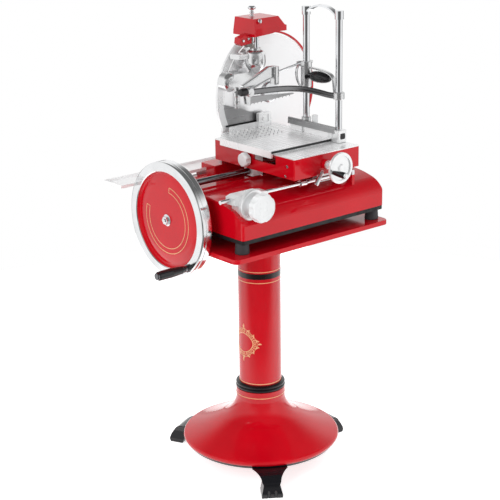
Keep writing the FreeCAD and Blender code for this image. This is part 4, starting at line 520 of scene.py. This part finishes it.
def tray_outline(inset, steps=14):
    """The tray from above: tight corners in front, wide ones behind."""
    points = []
    corners = ((TRAY_RIGHT, TRAY_SIDE, BACK_CORNER, 0), (TRAY_LEFT, TRAY_SIDE, BACK_CORNER, 1),
               (TRAY_LEFT, -TRAY_SIDE, FRONT_CORNER, 2), (TRAY_RIGHT, -TRAY_SIDE, FRONT_CORNER, 3))
    for x, y, radius, quarter in corners:
        centre_x = x - math.copysign(radius, x)
        centre_y = y - math.copysign(radius, y)
        for k in range(steps + 1):
            turn = math.radians(90 * (quarter + k / steps))
            points.append((centre_x + (radius - inset) * math.cos(turn),
                           centre_y + (radius - inset) * math.sin(turn)))
    return points


def make_pedestal_tray():
    """Pressed tray with a rolled edge and a lip turned down."""
    levels = ((0.0, 766), (0.0, 777), (1.2, 779.4), (3.5, 780), (3.5, 776), (4.0, 775), (4.0, 766))
    outlines = [[(x, y, z) for x, y in tray_outline(inset)] for inset, z in levels]
    rings = [list(points) for points in zip(*outlines)]
    lip = tube("tray_lip", rings, True, "red_paint", "stand")
    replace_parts(lip, "tray")
    prism("tray_top", tray_outline(3.0), 775.5, 779.9, upright, "red_paint", "stand")


def slice_tray_outline(inset):
    """The slice tray from above: wide at the left, narrow beside the blade."""
    left, step, right = -398 + inset, -40 - inset, 122 - inset
    front, beside, back = 150 + inset, 178 + inset, 240 - inset
    return [(left, front), (step, front), (step, beside), (right, beside), (right, back), (left, back)]


def make_slice_tray():
    """Sheet tray with a low rim."""
    levels = ((0.0, 925), (0.0, 934), (1.5, 934), (1.5, 925))
    outlines = [[(x, y, z) for x, y in slice_tray_outline(inset)] for inset, z in levels]
    rings = [list(points) for points in zip(*outlines)]
    rim = tube("slice_tray_rim", rings, True, "pale_alloy", "stand", smooth=False)
    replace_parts(rim, "slice_tray")
    prism("slice_tray_sheet", slice_tray_outline(1.4), 925, 926.5, upright, "pale_alloy", "stand")


# ---------------------------------------------------------------- flywheel


def make_wheel_disc():
    """The domed red disc in the rim, with its ribs behind."""
    face, back = WHEEL_FACE, WHEEL_BACK
    profile = [
        (WHEEL_BORE, -328), (WHEEL_BORE, face), (40, face), (98, face), (112, face + 0.5), (122, face + 1.8),
        (130, face + 4), (135, face + 5.5), (138.5, face + 4.6), (140.5, face + 1.5), (141.5, -342),
        (143, -342), (143, back), (110, back), (32, back), (24, WHEEL_HUB_END), (WHEEL_BORE, WHEEL_HUB_END),
    ]
    disc = turned("wheel_disc_face", profile, on_wheel_axis, "red_paint", "flywheel", 128)
    for k in range(WHEEL_RIBS):
        turn = math.radians(90 + 36 + 72 * k)
        outline = [(24, -9), (142, -9), (142, 9), (24, 9)]
        spoke = [(u * math.cos(turn) - v * math.sin(turn), u * math.sin(turn) + v * math.cos(turn))
                 for u, v in outline]
        prism("wheel_rib_%d" % k, spoke, -319, -312, on_wheel_axis, "red_paint", "flywheel")
    return disc


def make_wheel_nut():
    """Washer and domed nut in front of the disc."""
    washer = [(8, -338.5), (8, -341.5), (16, -341.5), (17.5, -340.5), (17.5, -338.5)]
    turned("wheel_washer", washer, on_wheel_axis, "chrome", "flywheel")
    corners = [(12.5 * math.cos(math.tau * k / 6), 12.5 * math.sin(math.tau * k / 6)) for k in range(6)]
    prism("wheel_nut", corners, -348.5, -341, on_wheel_axis, "chrome", "flywheel")
    stud = [(0.5, -348), (0.5, -351), (5, -351), (6, -350), (6, -348)]
    turned("wheel_stud", stud, on_wheel_axis, "chrome", "flywheel", 32)


def on_wheel(u, v, lift):
    """Flat of the disc's face: u to the back, v up, from the hub."""
    return (WHEEL_FACE - lift, WHEEL_Y + u, WHEEL_Z + v)


def arc_points(radius, start, stop, steps):
    """Points on an arc, angles in degrees."""
    angles = [math.radians(start + (stop - start) * k / steps) for k in range(steps + 1)]
    return [(radius * math.cos(a), radius * math.sin(a)) for a in angles]


def make_wheel_trim():
    """Gold outline of an open ring round the hub."""
    outer = arc_points(100, 98, 378, 90)
    inner = arc_points(85, 378, 98, 90)
    outline = outer + inner
    painted_line("wheel_gold_outline", outline, 1.3, on_wheel, "gold_paint", "flywheel", closed=True)


# ---------------------------------------------------------------- product clamp

POST_X, POST_A, POST_B = 194.0, -4.0, -147.0
TABLE_TOP = 1030.0
ARM_Y = -12
GRIP_Z = 1205
END_KNOB_Y, END_KNOB_Z = -33, 1193
HAND_GRIP_X, HAND_GRIP_Z = 39.55, 978.75
ALONG_X = Vector((1.0, 0.0, 0.0))
ALONG_Y = Vector((0.0, 1.0, 0.0))


def about(x, y):
    """Turned about an upright axis."""
    return lambda u, v, h: (x + u, y + v, h)


def along_front(x, z):
    """Turned about an axis along -Y."""
    return lambda u, v, h: (x + u, -h, z + v)


def along_side(y, z):
    """Turned about an axis along X."""
    return lambda u, v, h: (h, y + u, z + v)


def in_front(u, v, h):
    """An outline in X and Z, its heights along Y."""
    return (u, h, v)


def in_side(u, v, h):
    """An outline in Y and Z, its heights along X."""
    return (h, u, v)


def collar(name, y, low, high, finish, body, outer=17.0):
    """A bored collar on one of the posts."""
    profile = [(10.3, low), (outer - 1.5, low), (outer, low + 1.5), (outer, high - 1.5),
               (outer - 1.5, high), (10.3, high)]
    return turned(name, profile, about(POST_X, y), finish, body, 48)


def make_clamp_head():
    """Two collars, the thin strap over the grip, the arched bow, the latch's ears and small pins."""
    head = collar("clamp_collar_a", POST_A, 1169, 1247, "clamp_alloy", "clamp")
    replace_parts(head, "clamp_head")
    collar("clamp_collar_b", POST_B, 1150, 1172, "clamp_alloy", "clamp")
    strap = spline([(POST_X, -18, 1229), (POST_X, -50, 1229), (POST_X, -84, 1226), (POST_X, -112, 1219),
                    (POST_X, -124, 1207), (POST_X, -128, 1190), (POST_X, -132, 1160)])
    swept("clamp_strap", strap, oval(7, 2.6, 5.0, 24), "clamp_alloy", "clamp", ALONG_X)
    bow = spline([(188, -141, 1160), (176, -121, 1162), (161, -99, 1168), (135, -72, 1176),
                  (93, -53, 1183), (35, -41, 1187), (-52, -34, 1190)])
    swept("clamp_bow", bow, oval(6, 9, 2.6), "bow_alloy", "clamp")
    for k, (low, high) in enumerate(((-11.5, -7), (4.6, 9))):
        ear = [(166, 1240), (169, 1234), (182, 1230), (182, 1248), (170, 1248), (166, 1246)]
        prism("latch_ear_%d" % k, ear, low, high, in_front, "clamp_alloy", "clamp")
    lug = [(207, 1236), (216, 1240), (216, 1247), (207, 1247)]
    prism("collar_lug", lug, -10, 2, in_front, "clamp_alloy", "clamp")
    pin = [(0.5, 7.2), (2, 7.2), (2, 11.4), (0.5, 11.4)]
    turned("latch_pin_end", pin, along_front(174, 1237), "chrome", "clamp", 24)
    spigot = [(0.5, 19), (6, 19), (6, 31), (0.5, 31)]
    turned("grip_spigot", spigot, along_front(POST_X, GRIP_Z), "chrome", "clamp", 32)


def make_collar_screw():
    """Black clamping screw in the upper collar, toward the front left."""
    lean = math.radians(230)

    def place(u, v, h):
        out_x, out_y = math.cos(lean), math.sin(lean)
        return (POST_X + h * out_x - u * out_y, POST_A + h * out_y + u * out_x, 1202 + v)

    profile = [(0.5, 16), (6.5, 16), (6.5, 21), (5, 22.5), (0.5, 22.5)]
    turned("collar_screw", profile, place, "black_plastic", "clamp", 32)


def make_clamp_grip():
    """The fat black grip under the strap."""
    profile = [(0.5, 24), (7, 24), (10, 26), (14, 34), (16.8, 46), (17.5, 60), (16.6, 76), (14, 92),
               (10, 104), (6, 109), (0.5, 110)]
    grip = turned("clamp_fat_grip", profile, along_front(POST_X, GRIP_Z), "black_plastic", "clamp", 64)
    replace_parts(grip, "clamp_grip")


def make_clamp_arm():
    """Tapered arm with its ribs, T head, tie rod, the knuckle at the free end and the presser's ears."""
    web = [(-66, 1186), (-18, 1199), (33, 1214), (52, 1216), (52, 1249), (34, 1249), (-64, 1208)]
    arm = prism("clamp_arm_web", web, -15, -9, in_front, "clamp_alloy", "clamp")
    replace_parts(arm, "clamp_arm")
    upper = [(-70, ARM_Y, 1206), (-18, ARM_Y, 1226), (32, ARM_Y, 1249), (52, ARM_Y, 1249)]
    swept("clamp_arm_rib", upper, oval(8, 2.4, 4.0), "clamp_alloy", "clamp")
    lower = [(-60, ARM_Y, 1187), (-18, ARM_Y, 1199), (33, ARM_Y, 1214), (52, ARM_Y, 1216)]
    swept("clamp_arm_foot", lower, oval(8, 2.4, 4.0), "clamp_alloy", "clamp")
    head = [(u + 59, v + ARM_Y) for u, v in oval(9.5, 13, 4.0, 32)]
    prism("clamp_t_head", head, 1196, 1249, upright, "clamp_alloy", "clamp")
    tie = [(66, ARM_Y, 1230), (173, -9, 1246)]
    swept("clamp_tie", tie, oval(3.2, 3.2, 2.0, 16), "chrome", "clamp")
    barrel = [(0.5, 2), (12, 2), (14, 4), (14, 40), (12, 42), (0.5, 42)]
    turned("clamp_knuckle", barrel, along_front(-58, 1190), "clamp_alloy", "clamp", 48)
    for k, (low, high) in enumerate(((-20, -16.5), (-7.4, -4))):
        ear = [(-54, 1148), (-43, 1148), (-42, 1184), (-60, 1184)]
        prism("presser_ear_%d" % k, ear, low, high, in_front, "clamp_alloy", "clamp")
    pin = [(0.5, 3.6), (2.4, 3.6), (2.4, 20.4), (0.5, 20.4)]
    turned("presser_pin", pin, along_front(-48, 1154), "chrome", "clamp", 24)


def make_latch():
    """Curved spring leaf beside the upper collar."""
    leaf = spline([(173, -1, 1243), (164, -1, 1236), (157, -1, 1222), (157, -1, 1204), (163, -1, 1186),
                   (171, -1, 1173)])
    latch = swept("latch_leaf", leaf, oval(4.8, 1.8, 4.0), "clamp_alloy", "latch", ALONG_Y)
    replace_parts(latch, "post_latch")


def make_clamp_spindle():
    """Upright screw with its knurled nut and foot, and the lug that holds it."""
    profile = [(0.5, 1144), (7, 1144), (7.5, 1148), (5, 1150), (5, 1156), (9, 1158), (9, 1163),
               (7.2, 1165), (7.2, 1177), (10.5, 1179), (10.5, 1190), (8.5, 1193), (6, 1195), (6, 1204),
               (4.5, 1206), (0.5, 1206)]
    spindle = turned("spindle_screw", profile, about(-88, ARM_Y), "clamp_alloy", "clamp", 40)
    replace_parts(spindle, "clamp_spindle")
    lug = [(u - 76, v + ARM_Y) for u, v in oval(19, 8.5, 4.0)]
    prism("spindle_lug", lug, 1179, 1190, upright, "clamp_alloy", "clamp")


def make_guard_link():
    """Red link between the guard's upper end and the sharpener, with two bright screws."""
    outline = [(42, 1300), (50, 1293), (90, 1297), (90, 1324), (76, 1325), (45, 1317)]
    prism("guard_link", outline, 128, 154, in_front, "red_paint", "stand")
    for k, (x, z) in enumerate(((56, 1308), (76, 1312))):
        screw = [(0.5, -129), (4.6, -129), (4.6, -125.5), (3.4, -124), (0.5, -124)]
        turned("link_screw_%d" % k, screw, along_front(x, z), "chrome", "stand", 32)


def make_arm_knob():
    """Black knob with a bright ring at the clamp's free end."""
    profile = [(0.5, -94), (7, -94), (10.5, -92), (11.5, -88), (11.5, -73), (9, -70), (0.5, -70)]
    knob = turned("arm_end_knob", profile, along_side(END_KNOB_Y, END_KNOB_Z), "black_plastic", "clamp", 48)
    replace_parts(knob, "arm_knob")
    ring = [(0.5, -70.5), (12, -70.5), (13, -69.5), (13, -63), (0.5, -63)]
    turned("arm_knob_ring", ring, along_side(END_KNOB_Y, END_KNOB_Z), "clamp_alloy", "clamp", 48)


TOOTH_COUNT, TOOTH_START, TOOTH_STEP, TOOTH_RISE = 12, -36, 14, 0.03


def make_presser():
    """Slim toothed bar on its pivot."""
    outline = [(-50, 1150), (40, 1152), (132, 1156), (132, 1159), (40, 1166), (-36, 1171), (-50, 1164)]
    bar = prism("presser_blade", outline, -15.8, -8.2, in_front, "shield_steel", "presser")
    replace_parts(bar, "presser_bar")
    for k in range(TOOTH_COUNT):
        x = TOOTH_START + TOOTH_STEP * k
        foot = 1151.5 + TOOTH_RISE * (x - TOOTH_START)
        tooth = [(0.4, foot - 6), (2.0, foot + 1), (0.2, foot + 1)]
        turned("presser_tooth_%02d" % k, tooth, about(x, ARM_Y), "bow_alloy", "presser", 12)


def make_post_carrier():
    """Curved wing, two sockets and the square block at the front post."""
    lip = [(176, 1047), (177.5, 1066), (181.5, 1067), (184, 1062), (184, 1049)]
    wing = prism("carrier_wing", lip, POST_B, 62, in_front, "shield_steel", "table")
    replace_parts(wing, "post_carrier")
    wall = [(181, TABLE_TOP), (181, 1050), (183.9, 1050), (183.9, TABLE_TOP)]
    prism("carrier_wall", wall, POST_B, 56, in_front, "pale_alloy", "table")
    collar("carrier_socket_a", POST_A, TABLE_TOP, 1076, "clamp_alloy", "table", 14.5)
    stud = [(0.5, TABLE_TOP), (9, TABLE_TOP), (9, 1084), (8, 1085), (0.5, 1085)]
    turned("carrier_socket_clear", stud, about(197, -39.5), "pale_plastic", "table", 48)
    block = [(u + POST_X, v - 149) for u, v in oval(17, 16, 7.0, 40)]
    prism("carrier_block", block, 1021, 1058, upright, "cast_alloy", "table")
    step = [(u + POST_X, v - 126) for u, v in oval(17, 9, 7.0, 40)]
    prism("carrier_step", step, TABLE_TOP, 1058, upright, "cast_alloy", "table")
    window = [(u + POST_X, v + 1040) for u, v in oval(10, 9, 6.0, 32)]
    prism("carrier_window", window, -165.4, -160, in_front, "soft_black", "table")


def make_handwheel_grip():
    """Tapered grip that widens to its free end, and its bright cap."""
    profile = [(3.4, 288), (6, 288), (7.5, 300), (9.2, 318), (9.6, 330), (8.4, 336), (3.4, 337)]
    place = along_front(HAND_GRIP_X, HAND_GRIP_Z)
    grip = turned("hand_grip", profile, place, "black_plastic", "feed_handle", 48)
    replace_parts(grip, "handwheel_grip")
    cap = [(3.4, 337.2), (6.8, 337.2), (6.2, 340), (3.4, 340.5)]
    turned("hand_grip_cap", cap, place, "pale_plastic", "feed_handle", 32)


SHIELD_FACE = 160.0


def make_shield_shadow_strip():
    """Black strip painted as the shadow gap at the foot of the shield, and the end clip."""
    seal = [(8, 1043), (140, 1043), (140, 1048), (8, 1048)]
    # painted shadow: a black strip where the shield's foot has only a shadow gap
    prism("shield_shadow_strip", seal, SHIELD_FACE - 1.6, SHIELD_FACE + 0.4, in_front, "soft_black", "stand")
    clip = [(u + 144, v + 1058) for u, v in oval(15, 12, 5.0, 32)]
    prism("shield_clip", clip, SHIELD_FACE - 4, SHIELD_FACE + 0.4, in_front, "soft_black", "stand")


def make_carriage_screws():
    """Three bright screws on the carriage's left face."""
    for k, (y, z) in enumerate(((-188, 993), (-180, 962), (-73, 947))):
        head = [(0.5, -48.6), (5, -48.6), (5, -50.5), (3.6, -52), (0.5, -52)]
        turned("carriage_screw_%d" % k, head, along_side(y, z), "chrome", "carriage", 32)


def make_table_shadow_strip():
    """Black strip painted as the shadow gap along the table's front edge."""
    seal = [(-131.2, 1022), (-133, 1022.5), (-133, 1028.5), (-131.2, 1029)]
    # painted shadow: a black strip where the table's front edge has only a shadow gap
    prism("table_shadow_strip", seal, -60, 176, in_side, "soft_black", "table")


# ---------------------------------------------------------------- camera, floor and light

SENSOR = 36.0
CAMERA = Vector((-2688.8, -3156.2, 2015.1)) * MM
AZIMUTH = math.radians(-40.05)
PITCH = math.radians(17.77)
ROLL = math.radians(-0.79)
FOCAL = 1418.17 / 500


def place_camera():
    """The camera fitted to the photograph."""
    forward = Vector((-math.sin(AZIMUTH) * math.cos(PITCH), math.cos(AZIMUTH) * math.cos(PITCH),
                      -math.sin(PITCH)))
    level = Vector((math.cos(AZIMUTH), math.sin(AZIMUTH), 0.0))
    lift = level.cross(forward)
    right = level * math.cos(ROLL) + lift * math.sin(ROLL)
    up = lift * math.cos(ROLL) - level * math.sin(ROLL)
    data = bpy.data.cameras.new("camera")
    data.sensor_width = SENSOR
    data.lens = SENSOR * FOCAL
    data.clip_end = 200.0
    camera = bpy.data.objects.new("camera", data)
    camera.matrix_world = Matrix((
        (right.x, up.x, -forward.x, CAMERA.x), (right.y, up.y, -forward.y, CAMERA.y),
        (right.z, up.z, -forward.z, CAMERA.z), (0.0, 0.0, 0.0, 1.0)))
    bpy.context.scene.collection.objects.link(camera)
    bpy.context.scene.camera = camera


def area_light(name, spot, target, size, power):
    """A soft box that looks at a point."""
    data = bpy.data.lights.new(name, "AREA")
    data.shape = "RECTANGLE"
    data.size, data.size_y = size
    data.energy = power
    light = bpy.data.objects.new(name, data)
    light.location = Vector(spot)
    light.rotation_euler = (Vector(target) - light.location).to_track_quat("-Z", "Y").to_euler()
    light.visible_glossy = False
    bpy.context.scene.collection.objects.link(light)


FRONT = (-0.648, -0.762)


class Studio:
    """The world's nodes and small helpers to join them."""

    def __init__(self):
        world = bpy.data.worlds.new("studio")
        bpy.context.scene.world = world
        world.use_nodes = True
        self.tree = world.node_tree
        self.background = self.tree.nodes["Background"]
        self.direction = self.tree.nodes.new("ShaderNodeTexCoord").outputs["Generated"]

    def link(self, source, socket):
        """Link, or set a plain number."""
        if isinstance(source, bpy.types.NodeSocket):
            self.tree.links.new(source, socket)
        else:
            socket.default_value = source

    def math(self, operation, first, second):
        """One arithmetic step."""
        node = self.tree.nodes.new("ShaderNodeMath")
        node.operation = operation
        self.link(first, node.inputs[0])
        self.link(second, node.inputs[1])
        return node.outputs[0]

    def ramp(self, source, start, stop, low, high):
        """Smooth change from low to high."""
        node = self.tree.nodes.new("ShaderNodeMapRange")
        node.interpolation_type = "SMOOTHSTEP"
        for name, value in (("From Min", start), ("From Max", stop), ("To Min", low), ("To Max", high)):
            node.inputs[name].default_value = value
        self.link(source, node.inputs["Value"])
        return node.outputs["Result"]

    def dot(self, axis):
        """How far the direction points along an axis."""
        node = self.tree.nodes.new("ShaderNodeVectorMath")
        node.operation = "DOT_PRODUCT"
        self.link(self.direction, node.inputs[0])
        node.inputs[1].default_value = axis
        return node.outputs["Value"]

    def mix(self, factor, first, second):
        """Number between two numbers."""
        node = self.tree.nodes.new("ShaderNodeMix")
        for socket, value in zip(node.inputs[:4], (factor, None, first, second)):
            if value is not None:
                self.link(value, socket)
        return node.outputs[0]


LAMP_TARGET = (0.0, 0.0, 0.8)


def light_scene():
    """Three soft boxes, and a world that is white to the camera and a plain dome to dull surfaces.

    Glossy rays see a shaped surround instead: darker in front, behind and overhead.
    """
    area_light("key", (-2.5, -0.8, 1.45), LAMP_TARGET, (1.5, 1.7), 34.0)
    area_light("fill", (0.9, -2.7, 0.95), LAMP_TARGET, (1.5, 1.7), 24.0)
    area_light("back", (2.2, 1.7, 1.6), LAMP_TARGET, (1.8, 1.9), 27.0)
    studio = Studio()
    facing = studio.dot((*FRONT, 0.0))
    height = studio.dot((0.0, 0.0, 1.0))
    low_front = studio.ramp(facing, 0.6, 0.9, 1.0, 0.12)
    low_back = studio.ramp(facing, -0.65, -0.35, 0.25, 1.0)
    below = studio.math("MULTIPLY", low_front, low_back)
    high_front = studio.ramp(facing, 0.5, 0.95, 1.0, 0.3)
    ceiling = studio.ramp(height, 0.42, 0.75, 1.0, 0.14)
    above = studio.math("MULTIPLY", high_front, ceiling)
    shaped = studio.mix(studio.ramp(height, -0.08, 0.06, 0.0, 1.0), below, above)
    dome = studio.ramp(height, 0.05, 0.7, 0.48, 0.85)
    path = studio.tree.nodes.new("ShaderNodeLightPath")
    glossy = studio.mix(path.outputs["Is Glossy Ray"], dome, shaped)
    camera = studio.mix(path.outputs["Is Camera Ray"], glossy, 1.0)
    clear = studio.mix(path.outputs["Is Transmission Ray"], camera, 1.0)
    studio.background.inputs["Color"].default_value = (1.0, 1.0, 1.0, 1.0)
    studio.link(clear, studio.background.inputs["Strength"])


FLOOR_WHITE = (0.86, 0.86, 0.86)
FLOOR_DARK = (0.07, 0.07, 0.07)
FLOOR_GLOW = 0.68


def make_floor():
    """A plain pale floor that keeps the shadow; mirrored, it gets darker toward the front."""
    steps = 96
    reach = 2.2
    mesh = bpy.data.meshes.new("floor")
    rim = [(reach * math.cos(math.tau * k / steps), reach * math.sin(math.tau * k / steps), 0.0)
           for k in range(steps)]
    mesh.from_pydata(rim, [], [tuple(range(steps))])
    floor = bpy.data.objects.new("floor", mesh)
    bpy.context.scene.collection.objects.link(floor)
    graph = Graph("floor_white", FLOOR_WHITE, 0.0, 0.6)
    graph.set("Specular IOR Level", 0.1)
    graph.drive("Roughness", graph.spread(graph.noise(3.0), 0.55, 0.65))
    path = graph.add("ShaderNodeLightPath")
    toward = graph.tree.nodes.new("ShaderNodeVectorMath")
    toward.operation = "DOT_PRODUCT"
    graph.feed(toward.inputs[0], graph.position)
    toward.inputs[1].default_value = (*FRONT, 0.0)
    fade = graph.spread(toward.outputs["Value"], FLOOR_GLOW, 0.08, 0.3, 1.1)
    mirrored = graph.math("MULTIPLY", path.outputs["Is Glossy Ray"], fade)
    share = graph.spread(toward.outputs["Value"], 1.0, 0.0, 0.2, 0.9)
    in_mirror = graph.blend(share, FLOOR_DARK, FLOOR_WHITE)
    graph.drive("Base Color", graph.blend(path.outputs["Is Glossy Ray"], FLOOR_WHITE, in_mirror))
    seen = graph.math("MULTIPLY", path.outputs["Is Camera Ray"], FLOOR_GLOW)
    graph.set("Emission Color", (1.0, 1.0, 1.0, 1.0))
    graph.drive("Emission Strength", graph.math("MAXIMUM", seen, mirrored))
    mesh.materials.append(graph.material)


# ---------------------------------------------------------------- build

assign_cad_materials()
place_camera()
light_scene()
make_floor()
make_column_trim()
paint_spike_shade()
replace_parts(make_wheel_disc(), "flywheel_disc")
make_wheel_nut()
make_pedestal_tray()
make_slice_tray()
make_wheel_trim()
make_clamp_head()
make_clamp_grip()
make_clamp_arm()
make_arm_knob()
make_latch()
make_clamp_spindle()
make_guard_link()
make_presser()
make_post_carrier()
make_shield_shadow_strip()
make_table_shadow_strip()
make_handwheel_grip()
make_collar_screw()
make_carriage_screws()
paint_rod_stand()

scene = bpy.context.scene
scene.view_settings.view_transform = "Standard"
